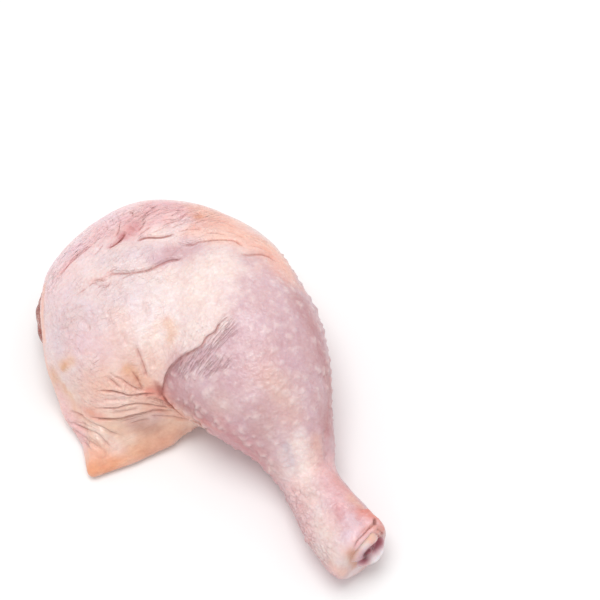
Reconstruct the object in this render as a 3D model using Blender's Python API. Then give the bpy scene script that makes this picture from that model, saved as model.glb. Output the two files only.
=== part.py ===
"""Raw chicken leg quarter, lying skin side up.

Three solids make it: the skin-on meat of the thigh and the drumstick, the raw meat that shows at the hip
cut, and the shank bone, which runs up inside the drumstick and shows its cartilage end at the hock.
X runs from the hip cut to the knee, +Y from the hock to the far edge of the thigh, and +Z is up. The
origin is the middle of the base. Sizes are in millimetres, and the finished meshes are in metres.
"""

from math import cos, radians, sin
from typing import NamedTuple

import bmesh
import bpy
import numpy as np
from mathutils import Matrix, Vector

MM = 0.001

# Gap between solids that touch
GAP = 0.3

# Faces: the spacing of the first even mesh, and the share of it that is kept
SKIN_GRAIN = 2.3
SKIN_KEPT = 0.44
BONE_GRAIN = 1.8
BONE_KEPT = 0.24
MEAT_GRAIN = 2.2
MEAT_KEPT = 0.34

# How far one mass runs into the next
SKIN_BLEND = 10.0
WEB_BLEND = 16.0
BONE_BLEND = 2.0
MEAT_BLEND = 6.0


class Form(NamedTuple):
    """A rounded mass: an ellipsoid, turned about +Z, then rolled about its own Y, in degrees."""

    centre: tuple
    half: tuple
    turn: float = 0.0
    roll: float = 0.0


class Station(NamedTuple):
    """A round cross-section of a limb: where its middle is, and its radius."""

    x: float
    y: float
    z: float
    radius: float


class Crease(NamedTuple):
    """A groove pressed into the skin along a smooth line, fading out at its ends."""

    line: tuple
    depth: float
    width: float


# The thigh, from the hip cut at -X to the knee at +X
THIGH = Form(centre=(-28, 25, 20), half=(41, 43, 26))
THIGH_FRONT = Form(centre=(-10, 44, 19), half=(40.5, 28, 25), turn=-22)
KNEE = Form(centre=(9, 33, 22), half=(20, 24, 25), turn=20)
CALF = Form(centre=(12.5, 7, 26), half=(32, 43, 27), turn=21)

# The drumstick below the calf, down to the hock
SHANK = (
    Station(25, -16, 22.0, 20.0),
    Station(32, -28, 18.0, 16.4),
    Station(37.5, -42, 14.5, 11.4),
    Station(42, -52, 12.8, 11.2),
    Station(48, -62, 13.0, 12.6),
    Station(55.2, -72.0, 13.8, 13.4),
)

# The cut across the hock: a point of it, the way it faces, and the roll of the skin round it
HOCK_CUT = (57.8, -77.1, 13.5)
HOCK_TURN = 43.0
HOCK_LEAN = 8.0
HOCK_FACING = (
    sin(radians(HOCK_TURN)) * cos(radians(HOCK_LEAN)),
    -cos(radians(HOCK_TURN)) * cos(radians(HOCK_LEAN)),
    sin(radians(HOCK_LEAN)),
)
HOCK_LIP = 2.0

# The two rounded cheeks of the shank bone's cartilage end, one over the other, with a groove between them
CHEEKS = (
    Form(centre=(54.9, -71.2, 19.2), half=(9.4, 8.6, 5.4), turn=43, roll=-14),
    Form(centre=(58.3, -70.7, 12.5), half=(8.6, 8.6, 5.2), turn=43, roll=-14),
)

# The shank bone, from the cheeks at the hock to the knee
BONE = (
    Station(52.5, -68.5, 14.0, 5.5),
    Station(48, -62, 13.2, 5.4),
    Station(40, -47, 15.0, 4.4),
    Station(28, -18, 21.0, 4.6),
    Station(18, 10, 25.0, 6.4),
    Station(14, 20, 26.0, 8.2),
)

# The slanting cut at the hip, and the bundles of raw meat in it
HIP_CUT = (-65.0, 25.0, 14.0)
HIP_SLANT = 24.0
HIP_FACING = (-cos(radians(HIP_SLANT)), 0.0, -sin(radians(HIP_SLANT)))
HIP_LIP = 3.0
MEAT = (
    Form(centre=(-54.5, 27, 14), half=(16.5, 10, 10.5)),
    Form(centre=(-54, 34, 14), half=(15.2, 9, 10), turn=-8),
    Form(centre=(-54, 19.5, 13.5), half=(15.2, 9, 9.5), turn=8),
)

# The loose web of skin at the back of the thigh, stretched from the meat to the points of its rim
WEB_ROOT = Station(-30, 14, 20.0, 19.0)
WEB_RIM = (
    Station(-56, 4, 9.0, 7.5),
    Station(-55, -10, 5.0, 5.0),
    Station(-47, -24, 3.4, 3.4),
    Station(-45, -36.5, 2.6, 2.6),
    Station(-30, -30.5, 2.6, 2.6),
    Station(-17, -23, 3.4, 3.4),
    Station(-8, -9, 10.0, 6.5),
)

# The edge of the thigh skin, which laps over the side of the drumstick
LAP_LINE = (
    (-3, -25, 19),
    (-11, -20, 20),
    (-16.4, -16.6, 27),
    (-16.6, -12.5, 33.5),
    (-12, -8, 40),
    (-4, -6.3, 46),
    (3, -1.5, 51),
    (10, 5, 53),
)
LAP_RISE = 1.3
LAP_SINK = 1.7
LAP_EDGE = 1.0
LAP_WIDTH = 4.5

CREASES = (
    # Under the band of thin skin at the far side
    Crease(((-58, 34, 36), (-47, 43, 40), (-36, 43, 44), (-25, 44, 45), (-13, 44, 45.5)), 0.9, 2.3),
    Crease(((-14, 42, 45.6), (-6, 40, 46.5), (9, 40.5, 47.4), (15, 34, 48.8), (27, 33, 42.4)), 0.8, 2.3),
    # Under the pale bulge of muscle
    Crease(((-40, 26, 45.5), (-28, 28, 46.4), (-17, 31.5, 46), (-9.5, 36.5, 46.4)), 1.5, 2.9),
    # Where the band is drawn in
    Crease(((-40, 40, 43), (-35, 44, 43.6), (-32, 48, 43.5), (-30, 54, 41)), 0.9, 2.3),
    # From the pucker at the lap out over the web
    Crease(((-18, -14.5, 30), (-23.5, -9.3, 36.4), (-26.5, -4.5, 40)), 1.1, 2.3),
    Crease(((-17, -16, 28), (-27, -16.4, 29), (-41, -15.4, 29)), 0.9, 2.3),
    Crease(((-12, -19.5, 21), (-27, -20.6, 21), (-34, -22.4, 18.7), (-48, -20, 15)), 1.1, 2.3),
    Crease(((-53, -19, 8), (-45, -24, 14), (-38, -27, 12.7), (-30, -27.6, 8)), 0.8, 2.3),
)

# Finishes: colour, roughness
FINISHES = {
    "leg_quarter": ((0.83, 0.66, 0.64), 0.42),
    "thigh_meat": ((0.56, 0.24, 0.20), 0.35),
    "shank_bone": ((0.88, 0.84, 0.78), 0.30),
}


def form_axes(form):
    """The directions of a form's own X, Y and Z."""
    return Matrix.Rotation(radians(form.turn), 3, "Z") @ Matrix.Rotation(radians(form.roll), 3, "Y")


def form_distance(points, form):
    """Distance from each point to an ellipsoid, near enough close to its surface."""
    local = (points - np.array(form.centre)) @ np.array(form_axes(form))
    half = np.array(form.half)
    near = np.linalg.norm(local / half, axis=1)
    steepness = np.linalg.norm(local / half**2, axis=1)
    return near * (near - 1.0) / np.maximum(steepness, 1e-9)


def smooth_path(stations, steps=6):
    """Rows spaced finely along a smooth curve through the given rows."""
    rows = np.array(stations, dtype=float)
    ends = np.vstack([2 * rows[0] - rows[1], rows, 2 * rows[-1] - rows[-2]])
    path = []
    for before, start, stop, after in zip(ends, ends[1:], ends[2:], ends[3:]):
        for share in np.linspace(0.0, 1.0, steps, endpoint=False):
            straight = 2 * start + (stop - before) * share
            bend = (2 * before - 5 * start + 4 * stop - after) * share**2
            twist = (3 * start - before - 3 * stop + after) * share**3
            path.append((straight + bend + twist) / 2)
    path.append(rows[-1])
    return np.array(path)


def limb_distance(points, path):
    """Distance from each point to a round limb of changing radius."""
    best = np.full(len(points), np.inf)
    for start, stop in zip(path, path[1:]):
        along = stop[:3] - start[:3]
        share = np.clip((points - start[:3]) @ along / (along @ along), 0.0, 1.0)
        middle = start[:3] + share[:, None] * along
        radius = start[3] + share * (stop[3] - start[3])
        best = np.minimum(best, np.linalg.norm(points - middle, axis=1) - radius)
    return best


def sheet_distance(points, corners):
    """Distance from each point to a triangle of flesh whose thickness runs evenly between its corners."""
    first, second, third = (np.array(corner) for corner in corners)
    side = second[:3] - first[:3]
    other = third[:3] - first[:3]
    reach = points - first[:3]
    square = np.array([[side @ side, side @ other], [side @ other, other @ other]])
    shares = np.stack([reach @ side, reach @ other], axis=1) @ np.linalg.inv(square)
    inside = (shares[:, 0] >= 0) & (shares[:, 1] >= 0) & (shares.sum(axis=1) <= 1)
    middle = first + shares[:, :1] * (second - first) + shares[:, 1:] * (third - first)
    flat = np.linalg.norm(points - middle[:, :3], axis=1) - middle[:, 3]
    edges = ((first, second), (second, third), (third, first))
    rim = np.min([limb_distance(points, np.array(edge)) for edge in edges], axis=0)
    return np.where(inside, np.minimum(flat, rim), rim)


def blended(distances, blend):
    """One distance for masses that run into each other over the blend width."""
    total = distances[0]
    for other in distances[1:]:
        overlap = np.maximum(blend - np.abs(total - other), 0.0) / blend
        total = np.minimum(total, other) - overlap**2 * blend / 4
    return total


def trimmed(distance, points, cut, facing, lip):
    """A distance cut off beyond a plane, with a rolled edge."""
    beyond = (points - np.array(cut)) @ np.array(facing)
    overlap = np.maximum(lip - np.abs(distance - beyond), 0.0) / lip
    return np.maximum(distance, beyond) + overlap**2 * lip / 4


def leg_distance(points):
    """Distance from each point to the whole skin-on leg, before its folds."""
    masses = [form_distance(points, form) for form in (THIGH, THIGH_FRONT, KNEE, CALF)]
    masses.append(limb_distance(points, smooth_path(SHANK)))
    web = [sheet_distance(points, (WEB_ROOT, *pair)) for pair in zip(WEB_RIM, WEB_RIM[1:])]
    leg = blended([blended(masses, SKIN_BLEND), np.min(web, axis=0)], WEB_BLEND)
    leg = trimmed(leg, points, HOCK_CUT, HOCK_FACING, HOCK_LIP)
    return trimmed(leg, points, HIP_CUT, HIP_FACING, HIP_LIP)


def bone_distance(points):
    """Distance from each point to the shank bone."""
    masses = [form_distance(points, form) for form in CHEEKS]
    masses.append(limb_distance(points, smooth_path(BONE)))
    return blended(masses, BONE_BLEND)


def meat_distance(points):
    """Distance from each point to the raw meat at the hip cut."""
    return blended([form_distance(points, form) for form in MEAT], MEAT_BLEND)


def rough_object(name, forms, paths, grain):
    """An object whose mesh is an even skin round ellipsoids and round limbs, in millimetres."""
    shape = bmesh.new()
    for form in forms:
        size = Matrix.Diagonal(Vector((*form.half, 1.0)))
        placed = Matrix.Translation(Vector(form.centre)) @ form_axes(form).to_4x4() @ size
        bmesh.ops.create_icosphere(shape, subdivisions=4, radius=1.0, matrix=placed)
    for path in paths:
        for x, y, z, radius in path:
            placed = Matrix.Translation((x, y, z))
            bmesh.ops.create_icosphere(shape, subdivisions=3, radius=radius, matrix=placed)
    mesh = bpy.data.meshes.new(name)
    shape.to_mesh(mesh)
    shape.free()
    item = bpy.data.objects.new(name, mesh)
    bpy.context.collection.objects.link(item)
    skin = item.modifiers.new("skin", "REMESH")
    skin.mode = "VOXEL"
    skin.voxel_size = grain
    return applied(item)


def applied(item):
    """Applies an object's modifiers to its mesh and returns the object."""
    graph = bpy.context.evaluated_depsgraph_get()
    graph.update()
    finished = bpy.data.meshes.new_from_object(item.evaluated_get(graph))
    old = item.data
    item.modifiers.clear()
    item.data = finished
    bpy.data.meshes.remove(old)
    finished.name = item.name
    return item


def mesh_array(elements, key, width):
    """One property of all of a mesh's elements, as rows."""
    values = np.empty(len(elements) * width, dtype=np.int64 if key == "vertices" else float)
    elements.foreach_get(key, values)
    return values.reshape(-1, width)


def move_vertices(mesh, points):
    """Puts a mesh's vertices at the given points."""
    mesh.vertices.foreach_set("co", points.ravel())
    mesh.update()


def neighbour_mean(mesh, points):
    """The mean of each vertex's neighbours."""
    edges = mesh_array(mesh.edges, "vertices", 2)
    total = np.zeros_like(points)
    count = np.zeros(len(points))
    for near, far in (edges.T, edges.T[::-1]):
        np.add.at(total, near, points[far])
        np.add.at(count, near, 1.0)
    return total / np.maximum(count, 1.0)[:, None]


def outward_slope(points, distance, step=0.05):
    """The direction in which a distance grows at each point."""
    parts = []
    for shift in np.eye(3) * step:
        parts.append((distance(points + shift) - distance(points - shift)) / (2 * step))
    return np.stack(parts, axis=1)


def settle_on(item, distance, rounds=12, last_rounds=3):
    """Moves a mesh's vertices onto the zero surface of a distance, evenly spaced."""
    points = mesh_array(item.data.vertices, "co", 3)
    for turn in range(rounds):
        if turn < rounds - last_rounds:
            points += 0.6 * (neighbour_mean(item.data, points) - points)
        outward = outward_slope(points, distance)
        size = np.maximum((outward**2).sum(axis=1), 0.05)
        points -= outward * (distance(points) / size)[:, None]
    move_vertices(item.data, points)


def line_reach(points, line):
    """For each point: its offset from a smooth line, the line's direction there, and the share along it."""
    path = smooth_path(line)
    best = np.full(len(points), np.inf)
    offset = np.zeros_like(points)
    heading = np.zeros_like(points)
    share = np.zeros(len(points))
    for number, (start, stop) in enumerate(zip(path, path[1:])):
        along = stop - start
        part = np.clip((points - start) @ along / (along @ along), 0.0, 1.0)
        reach = points - start - part[:, None] * along
        nearer = (reach**2).sum(axis=1) < best
        best = np.where(nearer, (reach**2).sum(axis=1), best)
        offset[nearer] = reach[nearer]
        heading[nearer] = along / np.linalg.norm(along)
        share[nearer] = (number + part[nearer]) / (len(path) - 1)
    return offset, heading, share


def end_fade(share, run=0.22):
    """Runs from 0 at both ends of a line to 1 along its middle."""
    rise = np.clip(np.minimum(share, 1.0 - share) / run, 0.0, 1.0)
    return rise * rise * (3 - 2 * rise)


def fold_skin(item):
    """Presses the creases into the skin and laps the thigh's edge over the drumstick."""
    points = mesh_array(item.data.vertices, "co", 3)
    outward = outward_slope(points, leg_distance)
    outward /= np.maximum(np.linalg.norm(outward, axis=1), 1e-9)[:, None]
    lift = np.zeros(len(points))
    for crease in CREASES:
        offset, _, share = line_reach(points, crease.line)
        groove = np.exp(-((offset**2).sum(axis=1)) / crease.width**2)
        lift -= crease.depth * groove * end_fade(share)
    offset, heading, share = line_reach(points, LAP_LINE)
    side = (offset * np.cross(outward, heading)).sum(axis=1)
    away = np.linalg.norm(offset, axis=1)
    step = np.tanh(side / LAP_EDGE) * np.where(side > 0, LAP_RISE, LAP_SINK)
    lift += step * np.exp(-((away / LAP_WIDTH) ** 2)) * end_fade(share)
    move_vertices(item.data, points + outward * lift[:, None])


def thin_out(item, kept):
    """Keeps a share of a mesh's faces, where the surface bends most."""
    fewer = item.modifiers.new("fewer", "DECIMATE")
    fewer.ratio = kept
    fewer.use_collapse_triangulate = True
    return applied(item)


def stand_flat(item):
    """Cuts the underside off level at Z = 0, so that the part has flat spots to rest on."""
    shape = bmesh.new()
    shape.from_mesh(item.data)
    everything = shape.verts[:] + shape.edges[:] + shape.faces[:]
    bmesh.ops.bisect_plane(
        shape, geom=everything, dist=1e-4, plane_co=(0, 0, 0), plane_no=(0, 0, -1), clear_outer=True
    )
    rims = [edge for edge in shape.edges if edge.is_boundary]
    bmesh.ops.holes_fill(shape, edges=rims, sides=0)
    bmesh.ops.triangulate(shape, faces=[face for face in shape.faces if len(face.verts) > 3])
    shape.to_mesh(item.data)
    shape.free()


def make_room(item, core):
    """Cuts the room for a core out of an item, with the gap all round."""
    cutter = core.copy()
    cutter.data = core.data.copy()
    bpy.context.collection.objects.link(cutter)
    points = mesh_array(cutter.data.vertices, "co", 3)
    normals = mesh_array(cutter.data.vertices, "normal", 3)
    move_vertices(cutter.data, points + normals * GAP)
    room = item.modifiers.new("room", "BOOLEAN")
    room.operation = "DIFFERENCE"
    room.solver = "EXACT"
    room.object = cutter
    applied(item)
    bpy.data.objects.remove(cutter, do_unlink=True)


def put_on_origin(items):
    """Moves the meshes so that the middle of the base is the origin, and turns them into metres."""
    every = np.vstack([mesh_array(item.data.vertices, "co", 3) for item in items])
    low = every.min(axis=0)
    high = every.max(axis=0)
    middle = np.array([(low[0] + high[0]) / 2, (low[1] + high[1]) / 2, low[2]])
    for item in items:
        move_vertices(item.data, (mesh_array(item.data.vertices, "co", 3) - middle) * MM)


def dress(item):
    """Gives an item its finish."""
    colour, roughness = FINISHES[item.name]
    finish = bpy.data.materials.new(item.name)
    finish.use_nodes = True
    shader = finish.node_tree.nodes["Principled BSDF"]
    shader.inputs["Base Color"].default_value = (*colour, 1.0)
    shader.inputs["Roughness"].default_value = roughness
    shader.inputs["Metallic"].default_value = 0.0
    item.data.materials.clear()
    item.data.materials.append(finish)
    item.data.shade_smooth()


def make_bone():
    """The shank bone."""
    bone = rough_object("shank_bone", CHEEKS, [smooth_path(BONE)], BONE_GRAIN)
    settle_on(bone, bone_distance)
    return thin_out(bone, BONE_KEPT)


def make_meat():
    """The raw meat at the hip cut."""
    meat = rough_object("thigh_meat", MEAT, [], MEAT_GRAIN)
    settle_on(meat, meat_distance)
    return thin_out(meat, MEAT_KEPT)


def make_leg(bone, meat):
    """The skin-on meat of thigh and drumstick, with room for the bone and the raw meat."""
    strips = [smooth_path((WEB_ROOT, corner), 12) for corner in WEB_RIM]
    paths = [smooth_path(SHANK), smooth_path(WEB_RIM), *strips]
    leg = rough_object("leg_quarter", (THIGH, THIGH_FRONT, KNEE, CALF), paths, SKIN_GRAIN)
    settle_on(leg, leg_distance)
    fold_skin(leg)
    thin_out(leg, SKIN_KEPT)
    stand_flat(leg)
    make_room(leg, bone)
    make_room(leg, meat)
    return leg


def main():
    """Builds the three solids."""
    for item in list(bpy.data.objects):
        bpy.data.objects.remove(item, do_unlink=True)
    bone = make_bone()
    meat = make_meat()
    leg = make_leg(bone, meat)
    items = (leg, bone, meat)
    put_on_origin(items)
    for item in items:
        dress(item)


main()
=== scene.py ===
"""The looks of a raw chicken leg quarter.

It has moist skin with its folds and goosebumps, the cartilage at the hock, and the raw meat at the hip cut.
Forms are laid out in millimetres, in the frame in which the masses of the leg are placed. A finished mesh
is in metres, in the part's own frame, with the middle of the base at the origin. Lines and patches that
follow the photograph are given in its pixels, and are laid on the skin through the photograph's camera.
"""

import logging
from dataclasses import dataclass
from enum import Enum
from math import cos, radians, sin
from typing import Protocol

import bmesh
import bpy
import numpy as np
from mathutils import Matrix, Vector
from mathutils.bvhtree import BVHTree


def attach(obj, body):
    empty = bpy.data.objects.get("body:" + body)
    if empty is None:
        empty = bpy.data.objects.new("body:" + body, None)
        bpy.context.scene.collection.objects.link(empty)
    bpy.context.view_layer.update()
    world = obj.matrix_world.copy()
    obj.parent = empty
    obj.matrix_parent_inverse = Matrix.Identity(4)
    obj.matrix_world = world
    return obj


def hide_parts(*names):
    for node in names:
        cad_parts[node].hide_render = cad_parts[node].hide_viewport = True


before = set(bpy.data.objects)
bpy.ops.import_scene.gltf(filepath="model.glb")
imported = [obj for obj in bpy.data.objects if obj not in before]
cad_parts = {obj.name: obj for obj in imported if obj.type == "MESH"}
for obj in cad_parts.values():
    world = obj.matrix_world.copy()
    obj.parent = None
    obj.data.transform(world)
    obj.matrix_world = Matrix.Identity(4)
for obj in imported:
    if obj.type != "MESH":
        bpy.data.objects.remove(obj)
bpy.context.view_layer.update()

MM = 0.001
TINY = 1e-9
LAYOUT_SHIFT = np.array((1.85, 4.74, 0.0))
BODY = "root"
LOG = logging.getLogger("leg_quarter")

HOCK_TURN = 43.0
HOCK_LEAN = 8.0
HIP_SLANT = 24.0

# The table of draws behind the noise, and the factors that spread a lattice's cells over it
TABLE_SIZE = 4096
CELL_FACTORS = (73856093, 19349663, 83492791)

Array = np.ndarray
Point = tuple[float, float, float]
Pixel = tuple[float, float]
Station = tuple[float, float, float, float]
Span = tuple[float, float]
Line = tuple[tuple[float, ...], ...]
Socket = bpy.types.NodeSocket


def smooth_step(values: Array, low: float, high: float) -> Array:
    """Runs smoothly from 0 at the low value to 1 at the high one.

    Args:
        values: the values to grade.
        low: where the result is 0.
        high: where the result is 1.

    Returns:
        One share for each value.
    """
    share = np.clip((values - low) / (high - low), 0.0, 1.0)
    return share * share * (3.0 - 2.0 * share)


def smooth_path(rows: Array, steps: int = 6) -> Array:
    """Rows spaced finely along a smooth curve through the given rows.

    Args:
        rows: the rows that the curve runs through.
        steps: how many rows each stretch between two of them gets.

    Returns:
        The rows along the curve, with the last given row at the end.
    """
    rows = np.array(rows, dtype=float)
    ends = np.vstack([2 * rows[0] - rows[1], rows, 2 * rows[-1] - rows[-2]])
    path = []
    for before, start, stop, after in zip(ends, ends[1:], ends[2:], ends[3:]):
        for share in np.linspace(0.0, 1.0, steps, endpoint=False):
            straight = 2 * start + (stop - before) * share
            bend = (2 * before - 5 * start + 4 * stop - after) * share**2
            twist = (3 * start - before - 3 * stop + after) * share**3
            path.append((straight + bend + twist) / 2)
    path.append(rows[-1])
    return np.array(path)


def limb_distance(points: Array, path: Array) -> Array:
    """Distance from each point to a round limb of changing radius.

    Args:
        points: the points to measure.
        path: rows of x, y, z and radius along the limb.

    Returns:
        One distance for each point, below 0 inside the limb.
    """
    best = np.full(len(points), np.inf)
    for start, stop in zip(path, path[1:]):
        along = stop[:3] - start[:3]
        share = np.clip((points - start[:3]) @ along / (along @ along), 0.0, 1.0)
        reach = points - start[:3] - share[:, None] * along
        radius = start[3] + share * (stop[3] - start[3])
        best = np.minimum(best, np.sqrt(np.einsum("ij,ij->i", reach, reach)) - radius)
    return best


def sheet_distance(points: Array, corners: tuple[Array, Array, Array]) -> Array:
    """Distance from each point to a triangle of flesh whose thickness runs evenly between its corners.

    Args:
        points: the points to measure.
        corners: three rows of x, y, z and half thickness.

    Returns:
        One distance for each point, below 0 inside the sheet.
    """
    first, second, third = corners
    side = second[:3] - first[:3]
    other = third[:3] - first[:3]
    reach = points - first[:3]
    square = np.array([[side @ side, side @ other], [side @ other, other @ other]])
    shares = np.stack([reach @ side, reach @ other], axis=1) @ np.linalg.inv(square)
    inside = (shares[:, 0] >= 0) & (shares[:, 1] >= 0) & (shares.sum(axis=1) <= 1)
    middle = first + shares[:, :1] * (second - first) + shares[:, 1:] * (third - first)
    flat = np.linalg.norm(points - middle[:, :3], axis=1) - middle[:, 3]
    rim = limb_distance(points, np.array([first, second, third, first]))
    return np.where(inside, np.minimum(flat, rim), rim)


def blended(distances: list[Array], blend: float) -> Array:
    """One distance for masses that run into each other.

    Args:
        distances: the distance of each mass.
        blend: the width over which they run together.

    Returns:
        One distance for each point.
    """
    total = distances[0]
    for other in distances[1:]:
        overlap = np.maximum(blend - np.abs(total - other), 0.0) / blend
        total = np.minimum(total, other) - overlap**2 * blend / 4
    return total


def lattice_key(cell: Array) -> Array:
    """The place in the table of draws for each cell of a lattice."""
    x, y, z = (cell * np.array(CELL_FACTORS)).T
    return (x ^ y ^ z) & (TABLE_SIZE - 1)


def lattice_noise(points: Array, size: float, seed: int) -> Array:
    """Smooth noise between -1 and 1.

    Args:
        points: where it is read, in millimetres.
        size: the size of its lumps, in millimetres.
        seed: the fixed number that its draws start from.

    Returns:
        One value for each point.
    """
    table = np.random.default_rng(seed).uniform(-1.0, 1.0, TABLE_SIZE)
    spot = points / size
    low = np.floor(spot).astype(np.int64)
    share = smooth_step(spot - low, 0.0, 1.0)
    total = np.zeros(len(points))
    for corner in np.ndindex(2, 2, 2):
        weight = np.prod(np.where(np.array(corner), share, 1.0 - share), axis=1)
        total += weight * table[lattice_key(low + np.array(corner))]
    return total


@dataclass(frozen=True)
class Lumps:
    """Uneven lumps of a height and a size in millimetres, with the seed of their draws."""

    height: float
    size: float
    seed: int


def lumpy(points: Array, layers: tuple[Lumps, ...]) -> Array:
    """How high some layers of lumps are together at each point."""
    return sum(lumps.height * lattice_noise(points, lumps.size, lumps.seed) for lumps in layers)


def cell_borders(points: Array, seed: int, border: float = 0.3) -> Array:
    """Thin borders between the cells of an uneven honeycomb of cells 1 unit across.

    Args:
        points: where it is read, in cells.
        seed: the fixed number that its draws start from.
        border: the width of a border, in cells.

    Returns:
        One value for each point, from 0 in a cell to 1 on a border.
    """
    table = np.random.default_rng(seed).uniform(0.0, 1.0, (TABLE_SIZE, 3))
    low = np.floor(points).astype(np.int64)
    nearest = np.full(len(points), np.inf)
    second = nearest.copy()
    for shift in np.ndindex(3, 3, 3):
        cell = low + np.array(shift) - 1
        gap = np.linalg.norm(cell + table[lattice_key(cell)] - points, axis=1)
        second = np.minimum(second, np.maximum(nearest, gap))
        nearest = np.minimum(nearest, gap)
    return 1.0 - smooth_step(second - nearest, 0.0, border)


@dataclass(frozen=True)
class Mass:
    """A rounded mass: an ellipsoid, turned about +Z, then rolled about its own Y, in degrees."""

    centre: Point
    half: Point
    turn: float = 0.0
    roll: float = 0.0

    def axes(self) -> Matrix:
        """The directions of the mass's own X, Y and Z."""
        return Matrix.Rotation(radians(self.turn), 3, "Z") @ Matrix.Rotation(radians(self.roll), 3, "Y")

    def distance(self, points: Array) -> Array:
        """Distance from each point to the mass, near enough close to its surface.

        Args:
            points: the points to measure.

        Returns:
            One distance for each point, below 0 inside the mass.
        """
        local = (points - np.array(self.centre)) @ np.array(self.axes())
        half = np.array(self.half)
        near = np.linalg.norm(local / half, axis=1)
        steepness = np.linalg.norm(local / half**2, axis=1)
        return near * (near - 1.0) / np.maximum(steepness, TINY)

    def lump(self, shape: bmesh.types.BMesh) -> None:
        """Adds the mass to a rough shape, as a ball."""
        size = Matrix.Diagonal(Vector((*self.half, 1.0)))
        placed = Matrix.Translation(Vector(self.centre)) @ self.axes().to_4x4() @ size
        bmesh.ops.create_icosphere(shape, subdivisions=4, radius=1.0, matrix=placed)


@dataclass(frozen=True)
class Limb:
    """A round limb: stations of x, y, z and radius."""

    stations: tuple[Station, ...]
    steps: int = 6

    def path(self) -> Array:
        """Stations spaced finely along the limb."""
        return smooth_path(self.stations, self.steps)

    def distance(self, points: Array) -> Array:
        """Distance from each point to the limb."""
        return limb_distance(points, self.path())

    def lump(self, shape: bmesh.types.BMesh) -> None:
        """Adds the limb to a rough shape, as a row of balls."""
        for *place, size in self.path():
            bmesh.ops.create_icosphere(shape, subdivisions=3, radius=size, matrix=Matrix.Translation(place))


@dataclass(frozen=True)
class Web:
    """A loose web of skin, stretched from its root in the meat to the stations of its rim."""

    root: Station
    rim: tuple[Station, ...]
    rim_steps: int = 4
    root_steps: int = 16

    def distance(self, points: Array) -> Array:
        """Distance from each point to the web.

        Args:
            points: the points to measure.

        Returns:
            One distance for each point, below 0 inside the web.
        """
        rows = np.array((self.root, *self.rim))
        sheets = [sheet_distance(points, (rows[0], near, far)) for near, far in zip(rows[1:], rows[2:])]
        return np.min(sheets, axis=0)

    def lump(self, shape: bmesh.types.BMesh) -> None:
        """Adds the web to a rough shape, as rows of balls close enough to leave no gap."""
        Limb(self.rim).lump(shape)
        for corner in Limb(self.rim, self.rim_steps).path():
            Limb((self.root, tuple(corner)), self.root_steps).lump(shape)


@dataclass(frozen=True)
class Cut:
    """A flat cut through the flesh with a rolled edge."""

    point: Point
    facing: Point
    lip: float

    def beyond(self, points: Array) -> Array:
        """How far each point is past the cut."""
        return (points - np.array(self.point)) @ np.array(self.facing)

    def trim(self, distance: Array, points: Array) -> Array:
        """A distance that ends at the cut.

        Args:
            distance: the distance of each point to the uncut form.
            points: the points.

        Returns:
            One distance for each point, with the edge rolled.
        """
        beyond = self.beyond(points)
        overlap = np.maximum(self.lip - np.abs(distance - beyond), 0.0) / self.lip
        return np.maximum(distance, beyond) + overlap**2 * self.lip / 4


class Form(Protocol):
    """A closed form that can be measured and roughed out."""

    def distance(self, points: Array) -> Array:
        """Distance from each point to the form."""

    def lump(self, shape: bmesh.types.BMesh) -> None:
        """Adds the form's masses to a rough shape."""


@dataclass(frozen=True)
class LegForm:
    """The skin-on leg: thigh, knee, calf and shank, with the loose web of skin, ended by its cuts."""

    thigh: tuple[Mass, ...] = (
        Mass((-28, 25, 20), (41, 43, 26)),
        Mass((-10, 44, 19), (40.5, 28, 25), turn=-22),
        Mass((9, 33, 22), (20, 24, 25), turn=20),
    )
    calf: Mass = Mass((12.5, 7, 26), (32, 43, 27), turn=21)
    shank: Limb = Limb((
        (25, -16, 22.0, 20.0),
        (32, -28, 18.0, 16.4),
        (37.5, -42, 14.5, 11.4),
        (42, -52, 12.8, 11.2),
        (48, -62, 13.0, 12.6),
        (55.2, -72.0, 13.8, 13.4),
    ))
    web: Web = Web(
        (-30, 14, 20.0, 19.0),
        (
            (-56, 4, 9.0, 7.5),
            (-55, -10, 5.0, 5.0),
            (-47, -24, 3.4, 3.4),
            (-45, -36.5, 2.6, 2.6),
            (-30, -30.5, 2.6, 2.6),
            (-17, -23, 3.4, 3.4),
            (-8, -9, 10.0, 6.5),
        ),
    )
    hock: Cut = Cut(
        (57.8, -77.1, 13.5),
        (
            sin(radians(HOCK_TURN)) * cos(radians(HOCK_LEAN)),
            -cos(radians(HOCK_TURN)) * cos(radians(HOCK_LEAN)),
            sin(radians(HOCK_LEAN)),
        ),
        2.0,
    )
    hip: Cut = Cut((-63.6, 25.0, 14.0), (-cos(radians(HIP_SLANT)), 0.0, -sin(radians(HIP_SLANT))), 3.0)
    base: Cut = Cut((0.0, 0.0, 0.0), (0.0, 0.0, -1.0), 1.2)
    mass_blend: float = 10.0
    web_blend: float = 16.0

    def uncut(self, points: Array) -> Array:
        """Distance from each point to the leg before its cuts."""
        masses = [mass.distance(points) for mass in (*self.thigh, self.calf, self.shank)]
        return blended([blended(masses, self.mass_blend), self.web.distance(points)], self.web_blend)

    def distance(self, points: Array) -> Array:
        """Distance from each point to the leg.

        Args:
            points: the points to measure.

        Returns:
            One distance for each point, below 0 inside the leg.
        """
        leg = self.uncut(points)
        for cut in (self.hock, self.hip, self.base):
            leg = cut.trim(leg, points)
        return leg

    def lump(self, shape: bmesh.types.BMesh) -> None:
        """Adds the leg's masses to a rough shape."""
        for mass in (*self.thigh, self.calf, self.shank, self.web):
            mass.lump(shape)


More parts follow.
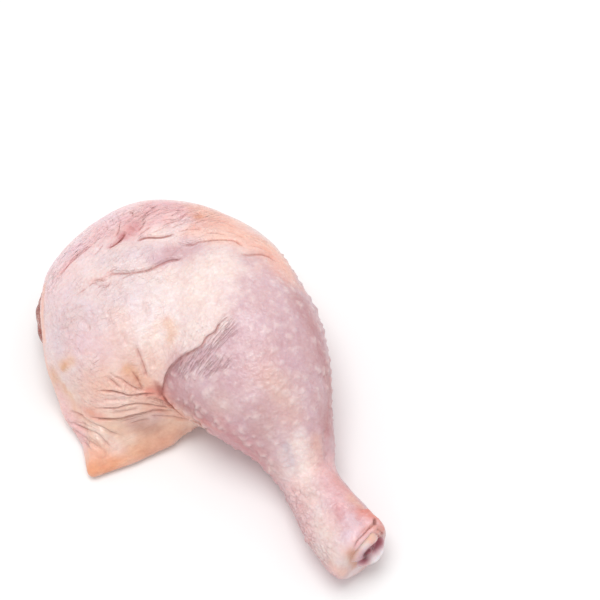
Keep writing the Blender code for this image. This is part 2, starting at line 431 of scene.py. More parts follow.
@dataclass(frozen=True)
class BoneForm:
    """The shank bone, with the two rounded cheeks of its cartilage end, one over the other."""

    cheeks: tuple[Mass, ...] = (
        Mass((54.9, -71.2, 19.2), (9.4, 8.6, 5.4), 43, -14),
        Mass((58.3, -70.7, 12.5), (8.6, 8.6, 5.2), 43, -14),
    )
    shaft: Limb = Limb((
        (52.5, -68.5, 14.0, 5.5),
        (48, -62, 13.2, 5.4),
        (40, -47, 15.0, 4.4),
        (28, -18, 21.0, 4.6),
        (18, 10, 25.0, 6.4),
        (14, 20, 26.0, 8.2),
    ))
    blend: float = 2.0

    def distance(self, points: Array) -> Array:
        """Distance from each point to the bone."""
        return blended([mass.distance(points) for mass in (*self.cheeks, self.shaft)], self.blend)

    def lump(self, shape: bmesh.types.BMesh) -> None:
        """Adds the bone's masses to a rough shape."""
        for mass in (*self.cheeks, self.shaft):
            mass.lump(shape)


@dataclass(frozen=True)
class MeatForm:
    """The bundles of raw meat at the hip cut."""

    bundles: tuple[Mass, ...] = (
        Mass((-54.5, 27, 14), (16.5, 10, 10.5)),
        Mass((-54, 34, 14), (15.2, 9, 10), turn=-8),
        Mass((-54, 19.5, 13.5), (15.2, 9, 9.5), turn=8),
    )
    blend: float = 6.0

    def distance(self, points: Array) -> Array:
        """Distance from each point to the meat."""
        return blended([mass.distance(points) for mass in self.bundles], self.blend)

    def lump(self, shape: bmesh.types.BMesh) -> None:
        """Adds the bundles to a rough shape."""
        for mass in self.bundles:
            mass.lump(shape)


class Surface:
    """A closed surface on a form. Its points are moved as arrays before it becomes a piece."""

    EVENING = 0.6
    LEAST_SLOPE = 0.05

    def __init__(self, form: Form, grain: float) -> None:
        """Wraps an even mesh round the form's rough shape.

        Args:
            form: the form that the surface settles on.
            grain: the size of its first faces, in millimetres.
        """
        self.form = form
        shape = bmesh.new()
        form.lump(shape)
        rough = bpy.data.meshes.new("rough")
        shape.to_mesh(rough)
        shape.free()
        item = bpy.data.objects.new("rough", rough)
        bpy.context.collection.objects.link(item)
        wrap = item.modifiers.new("wrap", "REMESH")
        wrap.mode = "VOXEL"
        wrap.voxel_size = grain
        graph = bpy.context.evaluated_depsgraph_get()
        graph.update()
        self.mesh = bpy.data.meshes.new_from_object(item.evaluated_get(graph))
        bpy.data.objects.remove(item, do_unlink=True)
        bpy.data.meshes.remove(rough)
        self.read()

    def read(self) -> None:
        """Takes the points and the edges from the mesh."""
        self.points = np.empty(len(self.mesh.vertices) * 3)
        self.mesh.vertices.foreach_get("co", self.points)
        self.points = self.points.reshape(-1, 3)
        ends = np.empty(len(self.mesh.edges) * 2, dtype=np.int64)
        self.mesh.edges.foreach_get("vertices", ends)
        self.ends = ends.reshape(-1, 2)

    def write(self) -> None:
        """Puts the points in the mesh."""
        self.mesh.vertices.foreach_set("co", self.points.ravel())
        self.mesh.update()

    def evened(self, values: Array) -> Array:
        """The mean of each point's neighbours.

        Args:
            values: one row for each point.

        Returns:
            One row of means for each point.
        """
        near, far = np.vstack([self.ends, self.ends[:, ::-1]]).T
        count = np.maximum(np.bincount(near, minlength=len(values)), 1)
        sums = [np.bincount(near, weights=column[far], minlength=len(values)) for column in values.T]
        return np.stack(sums, axis=1) / count[:, None]

    def slope(self, step: float = 0.05) -> Array:
        """The direction in which the form's distance grows at each point.

        Args:
            step: how far to each side of a point it is read.

        Returns:
            One row of x, y and z for each point.
        """
        parts = []
        for shift in np.eye(3) * step:
            ahead = self.form.distance(self.points + shift)
            parts.append((ahead - self.form.distance(self.points - shift)) / (2 * step))
        return np.stack(parts, axis=1)

    def outward(self) -> Array:
        """The unit direction out of the form at each point."""
        slope = self.slope()
        return slope / np.maximum(np.linalg.norm(slope, axis=1), TINY)[:, None]

    def settle(self, rounds: int = 12, last_rounds: int = 3) -> None:
        """Moves the points onto the form, evenly spaced.

        Args:
            rounds: how many times they are moved.
            last_rounds: how many of those leave the spacing alone.
        """
        for turn in range(rounds):
            if turn < rounds - last_rounds:
                self.points += self.EVENING * (self.evened(self.points) - self.points)
            slope = self.slope()
            size = np.maximum((slope**2).sum(axis=1), self.LEAST_SLOPE)
            self.points -= slope * (self.form.distance(self.points) / size)[:, None]
        self.write()

    def refine(self, wanted: Array) -> None:
        """Splits each face in four where all of its corners are wanted.

        Args:
            wanted: one truth value for each point.
        """
        shape = bmesh.new()
        shape.from_mesh(self.mesh)
        edges = set()
        for face in shape.faces:
            if all(wanted[vertex.index] for vertex in face.verts):
                edges.update(face.edges)
        ordered = sorted(edges, key=lambda edge: edge.index)
        bmesh.ops.subdivide_edges(shape, edges=ordered, cuts=1, use_grid_fill=True)
        many_sided = [face for face in shape.faces if len(face.verts) > 4]
        bmesh.ops.triangulate(shape, faces=many_sided)
        shape.to_mesh(self.mesh)
        shape.free()
        self.read()

    def attribute(self, name: str, values: Array) -> None:
        """Stores one number or colour for each point.

        Args:
            name: the attribute's name.
            values: numbers, or rows of red, green and blue.
        """
        if values.ndim == 1:
            layer = self.mesh.attributes.new(name, "FLOAT", "POINT")
            layer.data.foreach_set("value", values.astype(np.float32))
        else:
            layer = self.mesh.attributes.new(name, "FLOAT_COLOR", "POINT")
            rows = np.hstack([values, np.ones((len(values), 1))])
            layer.data.foreach_set("color", rows.astype(np.float32).ravel())

    def piece(self, name: str) -> bpy.types.Object:
        """The finished object, in metres in the part's own frame.

        Args:
            name: the object's name.

        Returns:
            The object, at the origin.
        """
        self.points = (self.points + LAYOUT_SHIFT) * MM
        self.write()
        self.mesh.name = name
        self.mesh.shade_smooth()
        item = bpy.data.objects.new(name, self.mesh)
        bpy.context.collection.objects.link(item)
        return item


@dataclass(frozen=True)
class PhotoCamera:
    """The camera at the photograph's viewing angle. Its aim and distance are in millimetres."""

    aim: Point = (35.2, 30.0, 20.0)
    elevation: float = 60.0
    distance: float = 667.0
    lens: float = 100.0
    sensor: float = 36.0
    image: float = 600.0

    def back(self) -> Array:
        """The direction from the aim to the camera."""
        return np.array((0.0, -cos(radians(self.elevation)), sin(radians(self.elevation))))

    def place(self) -> None:
        """Makes the camera and gives it to the scene."""
        data = bpy.data.cameras.new("photo_camera")
        data.lens = self.lens
        data.sensor_width = self.sensor
        camera = bpy.data.objects.new("photo_camera", data)
        camera.location = (np.array(self.aim) + self.back() * self.distance + LAYOUT_SHIFT) * MM
        camera.rotation_mode = "QUATERNION"
        camera.rotation_quaternion = (-Vector(self.back())).to_track_quat("-Z", "Y")
        bpy.context.collection.objects.link(camera)
        bpy.context.scene.camera = camera

    def ray(self, pixel: Pixel) -> tuple[Vector, Vector]:
        """The line of sight through a pixel.

        Args:
            pixel: where it is in the photograph.

        Returns:
            The camera's place and the direction away from it.
        """
        back = self.back()
        right = np.array((1.0, 0.0, 0.0))
        up = np.cross(back, right)
        focal = self.image * self.lens / self.sensor
        across = (pixel[0] - self.image / 2) / focal
        rise = (self.image / 2 - pixel[1]) / focal
        origin = np.array(self.aim) + back * self.distance
        return Vector(origin), Vector(right * across + up * rise - back).normalized()


@dataclass
class Reach:
    """What a line reaches: which points, their offsets from it, its direction there and the share of it."""

    chosen: Array
    offset: Array
    heading: Array
    share: Array

    def away(self) -> Array:
        """How far each chosen point is from the line."""
        return np.linalg.norm(self.offset, axis=1)

    def end_fade(self, run: float = 0.22) -> Array:
        """Runs from 0 at both ends of the line to 1 along its middle."""
        return smooth_step(np.minimum(self.share, 1.0 - self.share), 0.0, run)


class Chart:
    """Lays pixel lines of the photograph on a surface, and finds the points near them."""

    def __init__(self, surface: Surface, camera: PhotoCamera) -> None:
        """Reads the surface.

        Args:
            surface: what the lines are laid on.
            camera: the camera that the pixels were seen by.
        """
        faces = [tuple(face.vertices) for face in surface.mesh.polygons]
        self.tree = BVHTree.FromPolygons([Vector(point) for point in surface.points], faces)
        self.camera = camera

    def spot(self, pixel: Pixel) -> Array:
        """The point of the surface under a pixel, or near its line of sight where it misses the surface.

        Args:
            pixel: where it is in the photograph.

        Returns:
            The point's x, y and z.
        """
        origin, direction = self.camera.ray(pixel)
        hit = self.tree.ray_cast(origin, direction)[0]
        if hit is None:
            hit = self.tree.find_nearest(origin + direction * self.camera.distance)[0]
        return np.array(hit)

    def lay(self, line: Line) -> Array:
        """A smooth path over the surface.

        Args:
            line: its pixels, or points in millimetres where the photograph doesn't show it.

        Returns:
            Finely spaced points.
        """
        spots = [self.spot(point) if len(point) == 2 else np.array(point, dtype=float) for point in line]
        return smooth_path(np.array(spots))

    def toward(self, pixel: Pixel, way: Pixel) -> Array:
        """The unit direction on the surface of a way across the photograph, from a pixel."""
        run = self.spot((pixel[0] + way[0], pixel[1] + way[1])) - self.spot(pixel)
        return run / np.linalg.norm(run)

    def reach(self, points: Array, line: Line, margin: float) -> Reach:
        """The points near a line.

        Args:
            points: the points to search.
            line: the line, as for lay.
            margin: how far from it the search goes.

        Returns:
            The points that it reaches.
        """
        path = self.lay(line)
        low = path.min(axis=0) - margin
        high = path.max(axis=0) + margin
        chosen = np.nonzero(np.all((points > low) & (points < high), axis=1))[0]
        near = points[chosen]
        best = np.full(len(near), np.inf)
        offset = np.zeros_like(near)
        heading = np.zeros_like(near)
        share = np.zeros(len(near))
        for number, (start, stop) in enumerate(zip(path, path[1:])):
            along = stop - start
            part = np.clip((near - start) @ along / max(along @ along, TINY), 0.0, 1.0)
            gap = near - start - part[:, None] * along
            square = np.einsum("ij,ij->i", gap, gap)
            closer = square < best
            best[closer] = square[closer]
            offset[closer] = gap[closer]
            heading[closer] = along / max(np.linalg.norm(along), TINY)
            share[closer] = (number + part[closer]) / (len(path) - 1)
        return Reach(chosen, offset, heading, share)


class Tone(Enum):
    """Colours of the flesh, as red, green and blue from 0 to 255 on a screen."""

    CREAM = (247, 231, 227)
    LILAC = (236, 216, 224)
    MAUVE = (220, 190, 196)
    DUSKY = (200, 150, 152)
    ROSE = (248, 208, 211)
    BLUSH = (238, 184, 188)
    SALMON = (254, 206, 188)
    PEACH = (244, 204, 182)
    APRICOT = (244, 172, 126)
    PETAL = (255, 226, 227)
    SHELL = (255, 240, 246)
    UMBER = (190, 138, 116)
    MIST = (230, 220, 224)
    BEIGE = (224, 202, 190)
    YELLOW = (236, 188, 146)
    RUST = (222, 150, 112)
    WINE = (216, 140, 146)
    IVORY = (252, 242, 236)
    SLATE = (188, 180, 200)
    CORAL = (236, 160, 146)
    CREASE_SHADE = (186, 118, 112)
    TAN = (214, 156, 130)
    EMBER = (120, 62, 46)
    CRIMSON = (146, 50, 68)
    ORCHID = (206, 138, 154)
    PEARL = (244, 236, 240)
    ASH = (224, 192, 188)
    LIP = (246, 201, 178)
    FLESH = (196, 118, 98)
    DEEP_FLESH = (160, 84, 70)
    GARNET = (150, 72, 62)
    BRICK = (178, 98, 84)
    OCHRE = (224, 168, 116)
    BURGUNDY = (104, 34, 46)
    FASCIA = (222, 184, 174)

    def light(self) -> Array:
        """The colour as light, by the sRGB curve."""
        share = np.array(self.value) / 255.0
        return np.where(share <= 0.04045, share / 12.92, ((share + 0.055) / 1.055) ** 2.4)


@dataclass(frozen=True)
class Spray:
    """A soft patch of colour round a line, with an uneven edge.

    It is looked for as far as SEARCHED reaches away. EDGE are the lumps that its edge follows, WOBBLE is
    how strongly it does, and FALL is how sharply it ends.
    """

    SEARCHED = 2.2
    WOBBLE = 0.3
    FALL = 2.4
    EDGE = (Lumps(1.0, 5.0, 31), Lumps(0.6, 2.2, 32))

    tone: Tone
    reach: float
    strength: float
    line: Line


@dataclass(frozen=True)
class Fold:
    """A fold along a line. Lengths are in millimetres.

    Its groove is as deep as depth, and a low ridge runs along each side of it. The skin beside it is step
    higher on the line's left than on its right. How strongly painted shade darkens the crease is the value
    that follows the line.
    """

    RIDGES = (0.35, 1.7, 0.5)
    STEP_STEEPNESS = 2.5
    STEP_WIDTHS = 3.0

    depth: float
    width: float
    line: Line
    flush: float = 0.0
    step: float = 0.0

    def groove(self, near: Array, ridge: float, ridge_at: float, ridge_spread: float) -> Array:
        """The section of the groove, from 1 in its middle to below 0 on its ridges.

        Args:
            near: how far each point is from the line, in widths.
            ridge: the height of the ridges, as a share of the groove's depth.
            ridge_at: where they are, in widths.
            ridge_spread: how wide they are.

        Returns:
            One value for each point.
        """
        return np.exp(-(near**2)) - ridge * np.exp(-((near - ridge_at) ** 2) / ridge_spread)

    def lift(self, side: Array) -> Array:
        """How far the fold raises the points.

        Args:
            side: how far each point is to the line's left, or below 0 to its right.

        Returns:
            One height for each point, in millimetres.
        """
        near = np.abs(side) / self.width
        stepped = self.step * np.tanh(self.STEP_STEEPNESS * side / self.width)
        stepped *= np.exp(-((near / self.STEP_WIDTHS) ** 2))
        return stepped - self.depth * self.groove(near, *self.RIDGES)


class Weave(Enum):
    """How the wrinkles of a patch lie."""

    PLEATS = "pleats"
    NET = "net"


@dataclass(frozen=True)
class Wrinkles:
    """Many small wrinkles in a patch of the skin. Lengths are in millimetres, and toward is in pixels.

    They bend by a share of their spacing, over lumps of a noise some spacings across.
    """

    BEND = 0.45
    BEND_SPACINGS = 3.0
    BEND_SEEDS = (100, 200, 300)
    PLEAT_WIDTH = 0.34

    depth: float
    spacing: float
    run: float
    toward: Pixel
    reach: float
    line: Line
    seed: int
    # How strongly painted shade darkens the grooves of the wrinkles
    flush: float
    weave: Weave = Weave.PLEATS

    def grooves(self, points: Array, heading: Array) -> Array:
        """How deep in a wrinkle each point is.

        Args:
            points: the points.
            heading: the unit direction in which the wrinkles run.

        Returns:
            One value for each point, from 0 to 1.
        """
        size = self.spacing * self.BEND_SPACINGS
        bends = [lattice_noise(points, size, self.seed + extra) for extra in self.BEND_SEEDS]
        bent = points + self.BEND * self.spacing * np.stack(bends, axis=1)
        forward = (bent @ heading)[:, None] * heading
        squeezed = (bent - forward) / self.spacing + forward / self.run
        if self.weave is Weave.NET:
            return cell_borders(squeezed, self.seed)
        return 1.0 - smooth_step(np.abs(lattice_noise(squeezed, 1.0, self.seed)), 0.0, self.PLEAT_WIDTH)


@dataclass(frozen=True)
class Lap:
    """The edge of the thigh skin, which laps over the side of the drumstick and fades out. Millimetres.

    Before the share of its line called turns_at, the drumstick lies over the web instead. The step at the
    edge goes from sink below the skin to rise above it, and push moves its lip over the lower skin.
    """

    line: tuple[Pixel, ...]
    rise: float = 1.1
    sink: float = 1.5
    push: float = 0.8
    edge: float = 0.45
    width: float = 4.2
    lip_at: float = 0.8
    lip_width: float = 1.2
    turns_at: float = 0.3
    turn: float = 0.08
    under: float = 0.5
    crisp_until: float = 0.5
    faint_from: float = 0.7
    faint: float = 0.22
    start: float = 0.1
    end: float = 0.25
    line_at: float = 0.3
    line_width: float = 0.45
    line_strength: float = 0.8
    tone_search: float = 18.0
    tone_reach: float = 11.0
    tone_blur: Span = (0.5, 3.0)
    tone_fade: float = 0.12

    def strength(self, share: Array) -> Array:
        """How far the thigh skin is over the drumstick.

        Args:
            share: the shares along the line at which it is read.

        Returns:
            One value for each share, at most 1, and below 0 where the thigh skin is under.
        """
        fading = 1.0 - (1.0 - self.faint) * smooth_step(share, self.crisp_until, self.faint_from)
        turned = smooth_step(share, self.turns_at - self.turn, self.turns_at + self.turn)
        ends = smooth_step(share, 0.0, self.start) * smooth_step(1.0 - share, 0.0, self.end)
        return (turned - self.under * (1.0 - turned)) * fading * ends

    def lip(self, side: Array, fade: Array) -> Array:
        """How far the lip is pushed at points so far to its left, where the lap is so strong."""
        return np.exp(-(((side - self.lip_at) / self.lip_width) ** 2)) * np.maximum(fade, 0.0) * self.push

    def crease(self, side: Array, fade: Array) -> Array:
        """How strongly painted shade darkens the edge's crease at points so far to its left, where the lap
        is so strong.
        """
        near = np.exp(-(((side + self.line_at * np.sign(fade)) / self.line_width) ** 2))
        return self.line_strength * near * np.sqrt(np.abs(fade))

    def blur(self, share: Array) -> Array:
        """How far one colour runs into the other at given shares along the line."""
        return self.tone_blur[0] + self.tone_blur[1] * smooth_step(share, self.faint_from, 1.0)


class Way(Enum):
    """How a graded value runs."""

    SMOOTH = "SMOOTHSTEP"
    EVEN = "LINEAR"


class Graph:
    """Adds and links the nodes of one tree."""

    def __init__(self, tree: bpy.types.NodeTree) -> None:
        """Empties the tree, which then gets the nodes."""
        self.tree = tree
        tree.nodes.clear()

    def add(self, kind: str, inputs: dict | None = None, **settings: object) -> bpy.types.Node:
        """Adds a node.

        Args:
            kind: the node's type.
            inputs: a value or another node's output by the name or number of each input that is set.
            settings: the node's own settings.

        Returns:
            The node.
        """
        node = self.tree.nodes.new(kind)
        for name, value in settings.items():
            setattr(node, name, value)
        for name, value in (inputs or {}).items():
            if isinstance(value, Socket):
                self.tree.links.new(value, node.inputs[name])
            else:
                node.inputs[name].default_value = value
        return node

    def math(self, operation: str, first: object, second: object) -> Socket:
        """The result of a calculation with two values."""
        return self.add("ShaderNodeMath", {0: first, 1: second}, operation=operation).outputs[0]

    def mix(self, factor: object, base: object, other: object, blend: str = "MIX") -> Socket:
        """The result of laying one colour over another."""
        inputs = {0: factor, 6: base, 7: other}
        return self.add("ShaderNodeMix", inputs, data_type="RGBA", blend_type=blend).outputs[2]

    def unsigned(self, value: object) -> Socket:
        """The size of a value without its sign."""
        return self.add("ShaderNodeMath", {0: value}, operation="ABSOLUTE").outputs[0]

    def scaled(self, vector: object, factor: object) -> Socket:
        """The result of multiplying a vector by a number."""
        return self.add("ShaderNodeVectorMath", {0: vector, "Scale": factor}, operation="SCALE").outputs[0]

    def grade(
        self,
        value: object,
        low: object,
        high: object,
        first: float = 0.0,
        last: float = 1.0,
        way: Way = Way.SMOOTH,
    ) -> Socket:
        """The result of running from one value to another while a third goes from low to high.

        Args:
            value: the value that is graded.
            low: where the result is the first value.
            high: where the result is the last value.
            first: the first value.
            last: the last value.
            way: how it runs between them.

        Returns:
            The result.
        """
        inputs = {0: value, 1: low, 2: high, 3: first, 4: last}
        return self.add("ShaderNodeMapRange", inputs, interpolation_type=way.value).outputs[0]

    def read(self, name: str) -> Socket:
        """The number of an attribute of the surface."""
        return self.add("ShaderNodeAttribute", attribute_name=name).outputs["Fac"]


@dataclass(frozen=True)
class Mottle:
    """Uneven colour: patches of a size in millimetres that are multiplied by a colour."""

    size: float
    tint: Point
    amount: float


class Pattern(Enum):
    """How a fine relief is laid out."""

    NOISE = "noise"
    DOMES = "domes"
    NET = "net"
    CREASES = "creases"


@dataclass(frozen=True)
class Grain:
    """A relief too fine for the mesh, whose hollows get painted shade. Millimetres, and degrees for its
    turn.

    The pattern is stretched after the turn, strays from straight, and lies where an attribute of the
    surface says. Shade is how strongly painted shade darkens its hollows, in the colour tint, and crisp how
    narrow its creases are.
    """

    WANDER = 3.0
    BORDER = 0.2

    pattern: Pattern
    size: float
    depth: float
    stretch: Point = (1.0, 1.0, 1.0)
    turn: float = 0.0
    where: str = ""
    shade: float = 0.0
    stray: float = 1.6
    tint: Point = (0.76, 0.56, 0.57)
    crisp: float = 0.09

    def height(self, graph: Graph, place: Socket) -> Socket:
        """Adds the relief's height, from 0 to 1.

        Args:
            graph: the material's nodes.
            place: the coordinates that the relief follows.

        Returns:
            The height.
        """
        scale = 1.0 / (self.size * MM)
        coarse = {"Vector": place, "Scale": scale / self.WANDER, "Detail": 1.0}
        wander = graph.add("ShaderNodeTexNoise", coarse).outputs[1]
        strayed = graph.scaled(wander, self.stray * self.size * MM)
        bent = graph.add("ShaderNodeVectorMath", {0: place, 1: strayed}).outputs[0]
        turn = (0.0, 0.0, radians(self.turn))
        turned = graph.add("ShaderNodeMapping", {"Vector": bent, "Rotation": turn}).outputs[0]
        spot = graph.add("ShaderNodeMapping", {"Vector": turned, "Scale": self.stretch}).outputs[0]
        if self.pattern is Pattern.DOMES:
            cells = graph.add("ShaderNodeTexVoronoi", {"Vector": spot, "Scale": scale}, feature="SMOOTH_F1")
            return graph.math("SUBTRACT", 1.0, cells.outputs["Distance"])
        if self.pattern is Pattern.NET:
            inputs = {"Vector": spot, "Scale": scale}
            edge = graph.add("ShaderNodeTexVoronoi", inputs, feature="DISTANCE_TO_EDGE").outputs["Distance"]
            return graph.grade(edge, 0.0, self.BORDER)
        fine = {"Vector": spot, "Scale": scale, "Detail": 2.0, "Roughness": 0.55}
        noise = graph.add("ShaderNodeTexNoise", fine).outputs[0]
        if self.pattern is Pattern.NOISE:
            return noise
        return graph.grade(graph.unsigned(graph.math("SUBTRACT", noise, 0.5)), 0.0, self.crisp)


@dataclass(frozen=True)
class Furrow:
    """A thin crease along each fold, finer than the mesh, pressed in by bump and darkened by painted shade.
    Lengths are in millimetres.

    The surface says how far each point is from the nearest fold, and how strongly that fold's furrow is
    darkened by painted shade.
    """

    away: str
    strength: str
    width: float
    depth: float
    tone: Tone
    amount: float

    def line(self, graph: Graph) -> Socket:
        """The share of painted crease shade at a point, from 0 to 1."""
        near = graph.grade(graph.unsigned(graph.read(self.away)), self.width, 0.0)
        return graph.math("MULTIPLY", near, graph.read(self.strength))


@dataclass(frozen=True)
class Mark:
    """A colour laid on where an attribute of the surface says."""

    attribute: str
    tone: Tone
    amount: float


@dataclass(frozen=True)
class MoistFinish:
    """Raw flesh or skin: light goes a little way in, and a thin film of moisture lies on it.

    Where wet names an attribute of the surface, the film is thicker there, up to wet_film. Red light goes
    in further than green, and green further than blue.
    """

    LIGHT_REACH = (1.0, 0.45, 0.32)
    REFRACTION = 1.4
    MOTTLE_SPAN = (0.36, 0.66)
    DULL_SPAN = (0.3, 0.7)

    name: str
    roughness: float
    film: float
    film_roughness: float
    scatter: float
    scatter_reach: float
    mottles: tuple[Mottle, ...]
    grains: tuple[Grain, ...]
    marks: tuple[Mark, ...] = ()
    furrows: tuple[Furrow, ...] = ()
    roughness_swing: float = 0.12
    wet: str = ""
    wet_film: float = 1.0

    def mottled(self, graph: Graph, place: Socket) -> tuple[Socket, Socket]:
        """Adds the uneven colour.

        Args:
            graph: the material's nodes.
            place: the coordinates that it follows.

        Returns:
            The colour, and the last mottle's own noise.
        """
        colour = graph.add("ShaderNodeAttribute", attribute_name="tone").outputs["Color"]
        swing = None
        for mottle in self.mottles:
            inputs = {"Vector": place, "Scale": 1.0 / (mottle.size * MM), "Detail": 4.0, "Roughness": 0.62}
            swing = graph.add("ShaderNodeTexNoise", inputs).outputs[0]
            share = graph.grade(swing, *self.MOTTLE_SPAN, 0.0, mottle.amount, Way.EVEN)
            colour = graph.mix(share, colour, (*mottle.tint, 1.0), "MULTIPLY")
        for mark in self.marks:
            share = graph.math("MULTIPLY", graph.read(mark.attribute), mark.amount)
            colour = graph.mix(share, colour, (*mark.tone.light(), 1.0))
        return colour, swing

    def roughened(self, graph: Graph, place: Socket, colour: Socket) -> tuple[Socket, Socket]:
        """Adds the fine relief, and paints shade in its hollows and along the furrows.

        Args:
            graph: the material's nodes.
            place: the coordinates that it follows.
            colour: the colour before.

        Returns:
            The colour, and the direction out of the relief.
        """
        normal = None
        for grain in self.grains:
            height = grain.height(graph, place)
            strength = graph.read(grain.where) if grain.where else 1.0
            # Painted shade in the hollows of the relief
            if grain.shade > 0.0:
                low = graph.math("MULTIPLY", graph.math("SUBTRACT", 1.0, height), grain.shade)
                share = graph.math("MULTIPLY", low, strength)
                colour = graph.mix(share, colour, (*grain.tint, 1.0), "MULTIPLY")
            inputs = {"Strength": strength, "Distance": grain.depth * MM, "Height": height}
            if normal is not None:
                inputs["Normal"] = normal
            normal = graph.add("ShaderNodeBump", inputs).outputs[0]
        # Painted shade along the furrow of each fold
        for furrow in self.furrows:
            line = furrow.line(graph)
            share = graph.math("MULTIPLY", line, furrow.amount)
            colour = graph.mix(share, colour, (*furrow.tone.light(), 1.0))
            height = graph.math("SUBTRACT", 1.0, line)
            inputs = {"Distance": furrow.depth * MM, "Height": height, "Normal": normal}
            normal = graph.add("ShaderNodeBump", inputs).outputs[0]
        return colour, normal

    def material(self) -> bpy.types.Material:
        """Builds the material.

        Returns:
            A material that reads the surface's attributes and its own coordinates.
        """
        made = bpy.data.materials.new(self.name)
        made.use_nodes = True
        graph = Graph(made.node_tree)
        place = graph.add("ShaderNodeTexCoord").outputs["Object"]
        colour, swing = self.mottled(graph, place)
        colour, normal = self.roughened(graph, place, colour)
        smoothest = self.roughness - self.roughness_swing
        film = self.film
        if self.wet:
            film = graph.grade(graph.read(self.wet), 0.0, 1.0, self.film, self.wet_film, Way.EVEN)
        inputs = {
            "Base Color": colour,
            "Roughness": graph.grade(swing, *self.DULL_SPAN, smoothest, self.roughness, Way.EVEN),
            "Normal": normal,
            "Subsurface Weight": self.scatter,
            "Subsurface Radius": self.LIGHT_REACH,
            "Subsurface Scale": self.scatter_reach * MM,
            "Coat Weight": film,
            "Coat Roughness": self.film_roughness,
            "Coat Normal": normal,
            "IOR": self.REFRACTION,
        }
        shader = graph.add("ShaderNodeBsdfPrincipled", inputs)
        graph.add("ShaderNodeOutputMaterial", {"Surface": shader.outputs[0]})
        return made


